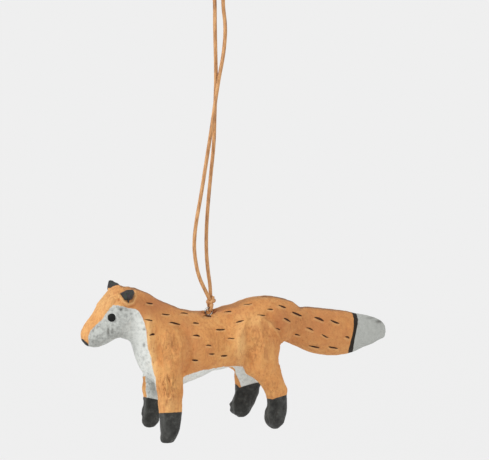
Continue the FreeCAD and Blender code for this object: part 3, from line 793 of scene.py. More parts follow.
def charcoal_material(name, colours):
    """Matt charcoal paint on pulp, with scuffs."""
    recipe = Recipe(name, colours, 0.6, 0.4)
    mottle = recipe.noise(1.6, 5.0, 0.65)
    colour = recipe.ramp(mottle, (0.42, "soot"), (0.68, "charcoal"), (0.86, "scuffed"))
    tints = recipe.noise(1.0, 2.0, 0.5)
    colour = recipe.blend(recipe.rise(tints, 0.50, 0.62, 0.0, 0.6), colour, "green_tint")
    colour = recipe.blend(recipe.rise(tints, 0.38, 0.48, 0.6, 0.0), colour, "violet_tint")
    normal = recipe.bump(recipe.noise(0.6, 4.0, 0.6), 0.2)
    return recipe.finish(colour, recipe.rise(mottle, 0.3, 0.7, 0.5, 0.7), normal)


def stroke_material(name, colours, dark, light, roughness):
    """A brush stroke of thin dark paint, thinner in places."""
    recipe = Recipe(name, colours, roughness, 0.2)
    colour = recipe.ramp(recipe.noise(0.7, 4.0, 0.6), (0.42, dark), (0.72, light))
    return recipe.finish(colour, None, recipe.bump(recipe.noise(0.3, 2.0), 0.03))


def cord_material(name, colours):
    """Round waxed leather lace, darker in its creases."""
    recipe = Recipe(name, colours, 0.5, 0.45)
    drawn = recipe.noise(0.9, 4.0, 0.6, 0.2, recipe.stretched((1, 1, 0.18)))
    cross = recipe.noise(0.5, 3.0, 0.6)
    colour = recipe.ramp(drawn, (0.30, "lace_dark"), (0.50, "lace"), (0.70, "lace_light"))
    normal = recipe.bump(cross, 0.05, recipe.bump(drawn, 0.08))
    return recipe.finish(colour, recipe.rise(drawn, 0.3, 0.7, 0.42, 0.6), normal)


def steel_material(name, colours, shade, roughness):
    """Bare wire, tarnished in spots."""
    recipe = Recipe(name, colours, roughness, 0.5)
    recipe.shader.inputs["Metallic"].default_value = 1.0
    spots = recipe.noise(0.8, 4.0, 0.65)
    colour = recipe.ramp(spots, (0.38, "tarnish"), (0.6, shade))
    normal = recipe.bump(recipe.noise(0.25, 3.0), 0.02)
    return recipe.finish(colour, recipe.rise(spots, 0.35, 0.65, roughness + 0.2, roughness), normal)


def newsprint_material(name, colours):
    """Crumpled pulp-stiff paper."""
    recipe = Recipe(name, colours, 0.9, 0.2)
    creases = recipe.cells(3.0, "DISTANCE_TO_EDGE")
    grey = recipe.noise(1.2, 4.0, 0.7)
    colour = recipe.ramp(grey, (0.4, "newsprint_ink"), (0.55, "newsprint"))
    return recipe.finish(colour, None, recipe.bump(recipe.rise(creases, 0.0, 0.15), 0.3))


# The cord


def smooth_path(name, points):
    """Points along a smooth spline whose control points are given."""
    curve = bpy.data.curves.new(name, "CURVE")
    curve.dimensions = "3D"
    curve.resolution_u = 10
    spline = curve.splines.new("NURBS")
    spline.points.add(len(points) - 1)
    for place, point in zip(spline.points, points):
        place.co = (*point, 1)
    spline.order_u = 3
    spline.use_endpoint_u = True
    line = bpy.data.objects.new(name, curve)
    mesh = bpy.data.meshes.new_from_object(line)
    path = [vertex.co.copy() for vertex in mesh.vertices]
    bpy.data.meshes.remove(mesh)
    bpy.data.objects.remove(line)
    bpy.data.curves.remove(curve)
    return path


def directions(path):
    """The way that a path runs at each of its points."""
    last = len(path) - 1
    return [(path[min(i + 1, last)] - path[max(i - 1, 0)]).normalized() for i in range(last + 1)]


def add_tube(form, path, radius, sides=14, uneven=0.03, seed=1):
    """A round lace drawn along a path, a little uneven in thickness."""
    runs = directions(path)
    turn = Vector((0, 0, 1)).rotation_difference(runs[0]).to_matrix().to_4x4()
    ring = bmesh.ops.create_circle(
        form, cap_ends=True, segments=sides, radius=radius,
        matrix=Matrix.Translation(path[0]) @ turn,
    )["verts"]
    edges = list({edge for vert in ring for edge in vert.link_edges})
    for before, here, run_before, run in zip(path, path[1:], runs, runs[1:]):
        made = bmesh.ops.extrude_edge_only(form, edges=edges)["geom"]
        ring = [item for item in made if isinstance(item, bmesh.types.BMVert)]
        sides_made = [item for item in made if isinstance(item, bmesh.types.BMEdge)]
        edges = [edge for edge in sides_made if edge.verts[0] in ring and edge.verts[1] in ring]
        bmesh.ops.translate(form, vec=here - before, verts=ring)
        swing = run_before.rotation_difference(run).to_matrix()
        bmesh.ops.rotate(form, cent=here, matrix=swing, verts=ring)
        wobble = noise.noise(here / LACE_WAVE + Vector((seed, 0, 0)))
        centre = sum((vert.co for vert in ring), Vector()) / len(ring)
        size = radius * (1 + uneven * wobble)
        for vert in ring:
            vert.co = centre + (vert.co - centre).normalized() * size
    bmesh.ops.contextual_create(form, geom=edges)


def make_strands(sizes, colours):
    """The two hanging strands, one lace from the knot up over the peg and down again."""
    path = smooth_path("cord_line", [Vector(point) * MM for point in CORD_ROUTE_MM])
    form = bmesh.new()
    add_tube(form, path, sizes.cord_diameter / 2)
    strands = finished_piece("cord_strands", form, cord_material("leather_lace", colours))
    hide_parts("cord_loop")
    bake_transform(strands)

    knot = make_knot(sizes, colours)
    bight = make_bight(colours)


def make_knot(sizes, colours):
    """The overhand knot over the ring: slanting wraps round the two strands."""
    form = bmesh.new()
    lean = Matrix.Rotation(KNOT_COIL_LEAN, 3, BACK)
    reach = KNOT_COIL_RADIUS / SPLINE_CORNER_SHARE
    coil = []
    for step in range(KNOT_COIL_STEPS + 1):
        turned = (step - KNOT_COIL_STEPS / 2) / KNOT_COIL_STEPS_A_TURN
        angle = 2 * math.pi * turned - math.pi / 2
        place = Vector((-reach * math.cos(angle), reach * math.sin(angle), turned * KNOT_COIL_RISE))
        coil.append(KNOT_CENTRE + lean @ place)
    add_tube(form, smooth_path("coil_line", coil), KNOT_LACE_RADIUS, 16, 0.10, 5)
    for side, points in KNOT_CORES_MM.items():
        path = smooth_path("core_line", [KNOT_CENTRE + Vector(point) * MM for point in points])
        add_tube(form, path, sizes.cord_diameter / 2, 14, 0.05, side)
    knot = finished_piece("cord_knot_wraps", form, cord_material("leather_knot", colours))
    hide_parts("cord_knot")
    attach(knot, "knot")
    return knot


def make_bight(colours):
    """The lace's turn round the ring's top wire."""
    reach = BIGHT_RADIUS / SPLINE_CORNER_SHARE
    end = Vector((BIGHT_ACROSS + BIGHT_END_ASIDE, 0, KNOT.z - BIGHT_END_DROP))
    points = [end - Vector((0, BIGHT_RADIUS, 0))]
    for degrees in range(180, 361, 45):
        angle = math.radians(degrees)
        turned = Vector((BIGHT_ACROSS, reach * math.cos(angle), reach * math.sin(angle)))
        points.append(RING_TOP + turned)
    points.append(end + Vector((0, BIGHT_RADIUS, 0)))
    form = bmesh.new()
    add_tube(form, smooth_path("bight_line", points), BIGHT_LACE_RADIUS, 14, 0.03, 9)
    bight = finished_piece("cord_bight_lace", form, cord_material("leather_bight", colours))
    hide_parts("cord_bight")
    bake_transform(bight)
    return bight


# The pulp skin

SKIN_NODES = [
    "torso", "head", "tail", "front_leg_left", "front_leg_right", "hind_leg_left",
    "hind_leg_right", "body_core", "tail_core", "spine_wire", "front_leg_wire", "hind_leg_wire",
]
SHOWN_SKIN_NODES = SKIN_NODES[:7]


def fused_form(nodes, voxel):
    """One closed surface round several solids, from small cubes."""
    joined = bmesh.new()
    for node in nodes:
        form = solid_form(node)
        shell = bpy.data.meshes.new(node + "_shell")
        form.to_mesh(shell)
        form.free()
        joined.from_mesh(shell)
        bpy.data.meshes.remove(shell)
    bmesh.ops.create_cone(
        joined, cap_ends=True, segments=24, radius1=PLUG_RADIUS, radius2=PLUG_RADIUS,
        depth=PLUG_DEPTH, matrix=Matrix.Translation((0, 0, PLUG_TOP - PLUG_DEPTH / 2)),
    )
    return even_faces(joined, "solids_joined", voxel)


def even_faces(form, name, voxel):
    """A closed form's surface in small even faces."""
    solid = new_object(name, form, False)
    cubes = solid.modifiers.new("cubes", "REMESH")
    cubes.mode = "VOXEL"
    cubes.voxel_size = voxel
    graph = bpy.context.evaluated_depsgraph_get()
    mesh = bpy.data.meshes.new_from_object(solid.evaluated_get(graph), depsgraph=graph)
    even = bmesh.new()
    even.from_mesh(mesh)
    bpy.data.meshes.remove(mesh)
    bpy.data.objects.remove(solid)
    return even


def grow(verts, rounds):
    """A set of vertices with the rings of neighbours round it."""
    grown = set(verts)
    edge_verts = grown
    for _ in range(rounds):
        edge_verts = {e.other_vert(v) for v in edge_verts for e in v.link_edges} - grown
        grown |= edge_verts
    return list(grown)


def soften_joins(form):
    """Fills the sharp inner corners where limbs meet the body, as wet pulp does."""
    form.normal_update()
    corners = []
    for vert in form.verts:
        around = [edge.other_vert(vert).co for edge in vert.link_edges]
        mean = sum(around, Vector()) / len(around)
        if (mean - vert.co).dot(vert.normal) > JOIN_DEPTH:
            corners.append(vert)
    zone = [vert for vert in grow(corners, JOIN_RINGS) if vert.co.z < JOIN_TOP]
    smooth_out(form, zone, JOIN_ROUNDS)


def mesh_arrays(mesh):
    """A mesh's places and normals as rows of numbers."""
    places = np.zeros(len(mesh.vertices) * 3, np.float32)
    mesh.vertices.foreach_get("co", places)
    normals = np.zeros(len(mesh.vertices) * 3, np.float32)
    mesh.vertex_normals.foreach_get("vector", normals)
    return places.reshape(-1, 3).astype(float), normals.reshape(-1, 3).astype(float)


def averaged(values, edges, rounds):
    """Each vertex's value, evened out with its neighbours'."""
    count = np.bincount(edges.ravel(), minlength=len(values))
    for _ in range(rounds):
        total = np.zeros_like(values)
        for axis in range(values.shape[1]):
            total[:, axis] = np.bincount(edges[:, 0], values[edges[:, 1], axis], len(values))
            total[:, axis] += np.bincount(edges[:, 1], values[edges[:, 0], axis], len(values))
        values = 0.5 * values + 0.5 * total / count[:, None]
    return values


def flank_pixels(places):
    """The pixel of each point, or of its mirror image where it is on the far side."""
    near = places.copy()
    near[:, 1] = -np.abs(near[:, 1])
    return in_picture(near)


def nudge(places, nudges):
    """The form shifted a little across the picture, near the given pixels."""
    pixels = in_picture(places)
    moved = places.copy()
    for centre, reach, shift, side in nudges:
        away = (pixels - np.array(centre, float)) / np.array(reach, float)
        weight = np.exp(-(away ** 2).sum(axis=1))
        if side:
            weight *= smooth_step(places[:, 1] * side, 0.0, 3 * MM)
        step = np.array(RIGHT) * shift[0] - np.array(UP) * shift[1]
        moved += weight[:, None] * step * PIXEL
    return moved


def nudge_piece(piece, nudges):
    """A piece's vertices shifted in the same way."""
    places, _ = mesh_arrays(piece.data)
    move_points(piece.data, nudge(places, nudges))


def along_line(pixels, line, half_width, strength):
    """A value that is greatest on a line of pixels and fades beside it."""
    return strength * np.exp(-(line_distance(pixels, line) / half_width) ** 2)


def far_dashes():
    """The far flank's dashes, told as pixels of its mirror image."""
    draw = random.Random(11)
    dashes = []
    for x, y, length, degrees, thickness in DASHES:
        aside = draw.uniform(*FAR_ASIDE) + (FAR_CHEST_SHIFT if x < CHEST_COLUMN else 0)
        lower = draw.uniform(*FAR_DOWN)
        size = length * draw.uniform(*FAR_LENGTH)
        dashes.append((x + aside, y + lower, size, degrees + draw.uniform(*FAR_TILT), thickness))
    return dashes


def dash_line(dash, aside=0.0):
    """The two ends of a dash, or of a line beside it."""
    x, y, length, degrees, _ = dash
    tilt = math.radians(degrees)
    across, down = math.cos(tilt), math.sin(tilt)
    ends = (-length / 2, length / 2)
    return [(x - down * aside + across * end, y + across * aside + down * end) for end in ends]


def both_sides(places):
    """The points of each flank, with the dashes that lie there."""
    return [(places[:, 1] < 0, DASHES), (places[:, 1] > 0, far_dashes())]


def light_edge_strength(places, pixels):
    """How near each point lies to the light lower edge of a dash, or to an ear's rim where a
    painted highlight lies.
    """
    best = along_line(pixels, EAR_RIM, *EAR_RIM_HIGHLIGHT)
    for members, dashes in both_sides(places):
        for dash in dashes:
            edge = dash_line(dash, dash[4] / 2 + DASH_LIGHT_EDGE_OFFSET)
            chip = along_line(pixels[members], edge, *DASH_LIGHT_EDGE)
            best[members] = np.maximum(best[members], chip)
    return best


def press_relief(places, normals):
    """Ridges, folds and lumps that fingers left in the wet pulp."""
    pixels = flank_pixels(places)
    behind_chest = smooth_step(pixels[:, 0], *FLANK_START)
    above_legs = smooth_step(places[:, 2], LEG_TOP - LEG_BLEND, LEG_TOP + LEG_BLEND)
    height = FLANK_SINK_MM * behind_chest * above_legs
    for ridge in RELIEF:
        height += along_line(pixels, *ridge)
    for members, dashes in both_sides(places):
        for dash in dashes:
            height[members] += along_line(pixels[members], dash_line(dash), *DASH_GROOVE)
            lip = dash_line(dash, DASH_LIP_OFFSET)
            height[members] += along_line(pixels[members], lip, *DASH_LIP)
    height *= smooth_step(normals[:, 1] * np.sign(places[:, 1]), *FLANK_FACING)
    seen = in_picture(places)
    inner = smooth_step(normals @ np.array(BACK), *INNER_FACING) * (places[:, 1] > 0)
    for ridge in INNER_RELIEF:
        height += along_line(seen, *ridge) * inner
    height += np.array([lump_height(Vector(place), SKIN_LUMPS) for place in places])
    return places + normals * height[:, None] * MM


def leg_points(places):
    """For each leg, the points that are near enough to belong to it."""
    low = (places[:, 2] < LEG_TOP) & (np.abs(places[:, 0]) < LEG_REACH)
    legs = {}
    for pair, way in (("front", -1), ("hind", 1)):
        for side in (-1, 1):
            legs[(pair, side)] = low & (places[:, 0] * way > 0) & (places[:, 1] * side > 0)
    return legs


def line_height(pixels, line):
    """The row of a line of pixels at each point's column."""
    return np.interp(pixels[:, 0], [p[0] for p in line], [p[1] for p in line])


def line_column(pixels, line):
    """The column of a line of pixels at each point's row."""
    return np.interp(pixels[:, 1], [p[1] for p in line], [p[0] for p in line])


def paint_depths(places):
    """How deep each point lies inside each paint, in millimetres, below zero outside."""
    pixel_mm = PIXEL / MM
    pixels = flank_pixels(places)
    seen = in_picture(places)
    aside = np.abs(places[:, 1]) / MM
    tail = places[:, 0] > LEG_REACH

    face = patch_depth(pixels, PALE_FACE_OUTLINE) * pixel_mm
    below = (pixels[:, 1] - line_height(pixels, BELLY_LINE)) * pixel_mm
    under = np.minimum(below, np.interp(pixels[:, 0], *INNER_LIMIT_MM) - aside)
    under[tail] = OUTSIDE
    front = pixels[:, 0] - line_column(pixels, BAND_FRONT)
    back = pixels[:, 0] - line_column(pixels, BAND_BACK)
    band = np.where(tail, np.minimum(front, -back) * pixel_mm, OUTSIDE)
    tip = np.where(tail, (back + TIP_UNDER_BAND) * pixel_mm, OUTSIDE)
    far_chest = np.where(places[:, 1] > 0, patch_depth(seen, FAR_CHEST) * pixel_mm, OUTSIDE)
    far_chest = np.minimum(far_chest, FAR_CHEST_REACH - aside)
    paw = np.full(len(places), OUTSIDE)
    for key, members in leg_points(places).items():
        depth = (seen[:, 1] - line_height(seen, PAW_LINES[key])) * pixel_mm
        paw[members] = depth[members]
    ring = np.linalg.norm((places - np.array(RING)) / np.array(BARE_REACH), axis=1)
    pale = np.maximum.reduce([face, under, tip, far_chest])
    bare = BARE_DEPTH_MM * (1 - ring)
    return {"pale": pale, "paw": paw, "band": band, "bare": bare, "tip": tip}


def patches(pixels, spots):
    """How strongly a tint lies on each point."""
    total = np.zeros(len(pixels))
    for centre, reach, strength in spots:
        away = (pixels - np.array(centre, float)) / np.array(reach, float)
        total = np.maximum(total, strength * np.exp(-(away ** 2).sum(axis=1)))
    return total


def carry(mesh, name, values):
    """Stores one number for each vertex."""
    mesh.attributes.new(name, "FLOAT", "POINT").data.foreach_set("value", values.astype(np.float32))


def make_skin(sizes, colours):
    """The fox's one skin of pulp: body, head, tail and legs without a join."""
    form = fused_form(SKIN_NODES, sizes.voxel)
    smooth_out(form, form.verts)
    soften_joins(form)
    skin = finished_piece("pulp_skin", form, skin_material(colours))
    mesh = skin.data
    places, normals = mesh_arrays(mesh)
    moved = press_relief(nudge(places, NUDGES), normals)
    low, high = (np.array(corner) for corner in SOLID_BOX)
    move_points(mesh, np.clip(moved, low, high))

    places, normals = mesh_arrays(mesh)
    edges = np.zeros(len(mesh.edges) * 2, np.int32)
    mesh.edges.foreach_get("vertices", edges)
    edges = edges.reshape(-1, 2)
    evened = averaged(places, edges, HOLLOW_ROUNDS)
    hollow = ((evened - places) * normals).sum(axis=1) / MM
    for name, depth in paint_depths(places).items():
        carry(mesh, name, depth)
    pixels = flank_pixels(places)
    # How far each point lies in a hollow, for painted shade in the hollows and painted highlight on
    # the ridges
    carry(mesh, "hollow", hollow)
    # The coat's tints: painted shade among the brown ones and painted highlight in the yellow ochre
    # ones
    for name, spots in COAT_PATCHES.items():
        carry(mesh, name, patches(pixels, spots))
    seen = in_picture(places)
    # Marks as the camera sees them: dark smudges, some of them painted shade, and light dry
    # brushing with painted highlight on the paws
    for name, spots in SEEN_PATCHES.items():
        carry(mesh, name, patches(seen, spots))
    # Lighter ochre under the dashes, and the painted highlight along the ears' rims
    carry(mesh, "chipped", light_edge_strength(places, pixels))
    # The top edge of the back, where painted shade lies
    facing = averaged(normals, edges, RIDGE_ROUNDS)
    level = 1 - smooth_step(np.abs(facing[:, 1]), *RIDGE_TILT)
    edge = smooth_step(facing[:, 2], *RIDGE_RISE) * level
    carry(mesh, "ridge", edge * np.interp(pixels[:, 0], *RIDGE_SHADE))
    face_end, chest_start, tail_start = CHEST_TONES
    chest = smooth_step(pixels[:, 0], face_end, chest_start) * (pixels[:, 0] < tail_start)
    # Grey on the face, and painted shade on the far chest
    carry(mesh, "greyed", np.maximum(1 - chest, patches(seen, SHADED)))
    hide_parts(*SHOWN_SKIN_NODES)
    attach(skin, "fox")


def surface_tree():
    """The skin's surface, for finding places on it."""
    mesh = bpy.data.objects["pulp_skin"].data
    return BVHTree.FromPolygons(
        [vertex.co for vertex in mesh.vertices], [tuple(face.vertices) for face in mesh.polygons]
    )


# Brush strokes and small pieces on the skin


def on_skin(tree, pixel):
    """The place on the skin that a pixel shows, and the way it faces."""
    place, normal, _, _ = tree.ray_cast(CAMERA_PLACE, sight_line(pixel))
    if place is None:
        raise RuntimeError(f"no skin lies behind the pixel {pixel}")
    return place, normal


def beside_skin(tree, pixel):
    """The place on the skin's middle line nearest to a pixel at its outline."""
    way = sight_line(pixel)
    spot = CAMERA_PLACE - way * (CAMERA_PLACE.y / way.y)
    near, _, _, _ = tree.find_nearest(spot)
    place, normal, _, _ = tree.find_nearest(Vector((near.x, 0, near.z)))
    return place, normal


def stroke(form, tree, spine, half_width, lift, far_side=False, lanes=1, lead=1.0):
    """A strip of paint along points on the skin, almond-shaped and laid on the surface."""
    last = len(spine) - 1
    places = []
    for index, (place, normal) in enumerate(spine):
        along = (spine[min(index + 1, last)][0] - spine[max(index - 1, 0)][0]).normalized()
        across = normal.cross(along).normalized()
        share = (index / last) ** lead
        swell = math.sin(math.pi * (STROKE_START + STROKE_RUN * share))
        width = half_width * swell ** STROKE_FULLNESS
        for lane in range(-lanes, lanes + 1):
            step = lane / lanes
            spot = place + across * width * step
            if far_side:
                spot = Vector((spot.x, -spot.y, spot.z))
            near, facing, _, _ = tree.find_nearest(spot)
            places.append(near + facing * lift * (1 + STROKE_CROWN * (1 - abs(step))))
    strip = bmesh.ops.create_grid(form, x_segments=2 * lanes, y_segments=last, size=1)["verts"]
    for vert, place in zip(strip, places, strict=True):
        vert.co = place


def dash_spine(tree, centre, length, tilt, bend):
    """Points along one dash, cast from the camera onto the skin."""
    along = Vector((math.cos(tilt), math.sin(tilt)))
    across = Vector((-along.y, along.x))
    spine = []
    for step in range(DASH_STEPS + 1):
        share = step / DASH_STEPS - 0.5
        bow = across * bend * (0.25 - share * share) * 4
        pixel = Vector(centre) + along * length * share + bow
        spine.append(on_skin(tree, pixel))
    return spine


def make_dashes(sizes, colours):
    """The dark dashes brushed over back, flanks and tail, on both sides."""
    tree = surface_tree()
    draw = random.Random(23)
    form = bmesh.new()
    for far, dashes in ((False, DASHES), (True, far_dashes())):
        for x, y, length, degrees, thickness in dashes:
            bend = draw.uniform(-DASH_BEND, DASH_BEND)
            spine = dash_spine(tree, (x, y), length, math.radians(degrees), bend)
            half = thickness * DASH_BOLDNESS * PIXEL / 2
            lead = draw.choice(DASH_LEADS)
            stroke(form, tree, spine, half, sizes.stroke_lift, far, 1, lead)
    paint_mix = stroke_material("dash_paint", colours, "dash", "dash_thin", 0.7)
    dashes = finished_piece("coat_dashes", form, paint_mix)
    face_outwards(dashes, tree)
    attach(dashes, "fox")


def face_outwards(piece, tree):
    """Turns each face of a laid-on piece the way that the skin under it faces."""
    form = bmesh.new()
    form.from_mesh(piece.data)
    form.normal_update()
    wrong = []
    for face in form.faces:
        _, facing, _, _ = tree.find_nearest(face.calc_center_median())
        if face.normal.dot(facing) < 0:
            wrong.append(face)
    bmesh.ops.reverse_faces(form, faces=wrong)
    form.to_mesh(piece.data)
    form.free()


def make_nose(sizes, colours):
    """The dark pad across the tip of the muzzle."""
    tree = surface_tree()
    corners = [beside_skin(tree, pixel) for pixel in NOSE_STROKE]
    form = bmesh.new()
    spine = []
    for (here, way), (there, next_way) in zip(corners, corners[1:]):
        for part in range(NOSE_PARTS):
            share = part / NOSE_PARTS
            spine.append((here.lerp(there, share), way.lerp(next_way, share).normalized()))
    spine.append(corners[-1])
    lift = sizes.stroke_lift * NOSE_THICKNESS
    stroke(form, tree, spine, sizes.nose_width / 2, lift, lanes=NOSE_LANES)
    paint_mix = stroke_material("nose_paint", colours, "black", "soot", 0.5)
    nose = finished_piece("nose_stroke", form, paint_mix)
    face_outwards(nose, tree)
    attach(nose, "fox")


def make_ears(sizes, colours):
    """Both ears, thick pinched triangles of pulp painted charcoal."""
    for side, nudges in EAR_NUDGES.items():
        node = "ear_" + side
        form = even_faces(solid_form(node), node + "_solid", sizes.ear_voxel)
        smooth_out(form, form.verts, 3)
        form.normal_update()
        for vert in form.verts:
            vert.co += vert.normal * lump_height(vert.co, EAR_LUMPS) * MM
        ear = new_object("pulp_" + node, form)
        nudge_piece(ear, nudges)
        set_material(ear, charcoal_material("charcoal_" + node, colours))
        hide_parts(node)
        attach(ear, "fox")


def make_eyes(sizes, colours):
    """Both eyes, round drops of thick black paint."""
    tree = surface_tree()
    for side in ("left", "right"):
        low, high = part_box("eye_" + side)
        near, facing, _, _ = tree.find_nearest((low + high) / 2)
        form = bmesh.new()
        turn = Vector((0, 0, 1)).rotation_difference(facing).to_matrix().to_4x4()
        flatten = Matrix.Diagonal((1, 1, sizes.eye_rise / sizes.eye_radius, 1))
        bmesh.ops.create_uvsphere(
            form, u_segments=36, v_segments=20, radius=sizes.eye_radius,
            matrix=Matrix.Translation(near) @ turn @ flatten,
        )
        for vert in form.verts:
            away = vert.co - near
            vert.co = near + away * (1 + lump_height(away, EYE_LUMPS))
        paint_mix = stroke_material("eye_paint_" + side, colours, "black", "black", 0.6)
        eye = finished_piece("paint_eye_" + side, form, paint_mix)
        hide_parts("eye_" + side)
        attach(eye, "fox")


def bent_wire(node):
    """The wire along the spine, with its bend in the neck kept under the pulp."""
    wire = new_object("bent_" + node, solid_form(node))
    nudge_piece(wire, WIRE_NUDGES)
    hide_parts(node)
    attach(wire, "fox")
    return wire


def finish_metal(colours):
    """The screw eye's dull steel and, inside the pulp, the wires and the paper cores."""
    nodes = frame["nodes"]
    set_material(nodes["screw_eye"], steel_material("dulled_screw_eye", colours, "steel", 0.22))
    for piece in (bent_wire("spine_wire"), nodes["front_leg_wire"], nodes["hind_leg_wire"]):
        set_material(piece, steel_material("annealed_" + piece.name, colours, "wire", 0.5))
    for name in ("body_core", "tail_core"):
        set_material(nodes[name], newsprint_material("newsprint_" + name, colours))


# The stage


def make_camera():
    """The camera at the picture's place and angle."""
    data = bpy.data.cameras.new("camera")
    data.sensor_width = SENSOR_WIDTH_MM
    data.lens = SENSOR_WIDTH_MM * VIEW_DISTANCE / (PICTURE_WIDTH * PIXEL)
    data.clip_start = 0.01
    data.clip_end = 20
    camera = bpy.data.objects.new("camera", data)
    turn = Matrix((RIGHT, UP, BACK)).transposed().to_4x4()
    camera.matrix_world = Matrix.Translation(CAMERA_PLACE) @ turn
    bpy.context.scene.collection.objects.link(camera)
    bpy.context.scene.camera = camera


def seen_share(nodes):
    """1 for rays that look straight, by a mirror or through glass, and 0 for light on the fox."""
    share = 0.0
    for ray in ("Is Camera Ray", "Is Glossy Ray", "Is Transmission Ray"):
        share = nodes.math("MAXIMUM", share, nodes.add("LightPath", ray))
    return share


def make_floor(stage):
    """A wide pale disc far below the paws that fades into the background."""
    form = bmesh.new()
    bmesh.ops.create_circle(
        form, cap_ends=True, segments=96, radius=stage.floor_radius,
        matrix=Matrix.Translation((0, 0, stage.floor_height)),
    )
    floor = new_object("floor", form, False)
    recipe = Recipe("pale_floor", stage, 0.9, 0.5)
    away = recipe.add("VectorMath", "Value", {0: recipe.place}, operation="LENGTH")
    fade = recipe.rise(away, *FLOOR_FADE_REACH, *FLOOR_FADE, "LINEAR")
    glow = recipe.add("Emission", "Emission", {"Color": "background"})
    share = recipe.math("MULTIPLY", fade, seen_share(recipe))
    recipe.show("Material Output", share, recipe.shader.outputs[0], glow)
    set_material(floor, recipe.finish("background"))


def make_world(stage):
    """The pale room: plain to look at, dimmer as light on the object."""
    world = bpy.data.worlds.new("pale_room")
    nodes = Nodes(world, stage)
    ambient = nodes.tree.nodes["Background"]
    nodes.feed(ambient.inputs["Color"], (1, 1, 1))
    nodes.feed(ambient.inputs["Strength"], stage.ambient)
    backdrop = nodes.add("Background", "Background", {"Color": "background"})
    nodes.show("World Output", seen_share(nodes), ambient.outputs[0], backdrop)
    bpy.context.scene.world = world


def add_lamp(name, direction, distance, size, energy):
    """A soft square lamp that faces the fox."""
    data = bpy.data.lights.new(name, "AREA")
    data.size = size
    data.energy = energy
    lamp = bpy.data.objects.new(name, data)
    aim = direction.normalized()
    turn = Vector((0, 0, 1)).rotation_difference(aim).to_matrix().to_4x4()
    lamp.matrix_world = Matrix.Translation(RING + aim * distance) @ turn
    bpy.context.scene.collection.objects.link(lamp)


def make_stage(stage):
    """The floor, the room and the lamps."""
    bpy.context.scene.view_settings.view_transform = "Standard"
    make_floor(stage)
    make_world(stage)
    add_lamp("key", BACK * 0.55 - RIGHT * 0.75 + UP * 0.40, 0.7, 0.30, stage.key_power)
    add_lamp("fill", BACK * 0.8 + RIGHT * 0.6 + UP * 0.35, 0.9, 0.6, stage.fill_power)
    add_lamp("top", Vector((0, 0.3, 1)), 0.9, 0.6, stage.top_power)
    add_lamp("behind", -BACK * 0.8 + RIGHT * 0.2 + UP * 0.45, 0.9, 0.6, stage.back_power)


# The add-on's settings


def size_setting(label, about, default):
    """A length that a user may change."""
    return FloatProperty(name=label, description=about, default=default, unit="LENGTH", precision=5)


def colour_setting(label, about, red, green, blue):
    """A colour that a user may change, given from 0 to 255."""
    return FloatVectorProperty(
        name=label, description=about, default=paint(red, green, blue), size=3, subtype="COLOR",
        min=0, max=1,
    )


def power_setting(label, about, default):
    """A lamp's power that a user may change."""
    return FloatProperty(name=label, description=about, default=default, unit="POWER")


class FoxSizes(bpy.types.PropertyGroup):
    """Sizes of the fox's surface and small pieces."""

    cord_diameter: size_setting("Cord diameter", "Thickness of the leather lace", 1.46 * MM)
    voxel: size_setting("Skin grain", "Edge of the small faces of the skin", 0.425 * MM)
    ear_voxel: size_setting("Ear grain", "Edge of the small faces of the ears", 0.22 * MM)
    stroke_lift: size_setting("Paint thickness", "How far a stroke stands on the skin", 0.03 * MM)
    nose_width: size_setting("Nose pad", "Width of the dark pad across the muzzle", 4.8 * MM)
    eye_radius: size_setting("Eye radius", "Radius of the drop of black paint", 1.55 * MM)
    eye_rise: size_setting("Eye rise", "How far the drop of paint stands up", 0.45 * MM)


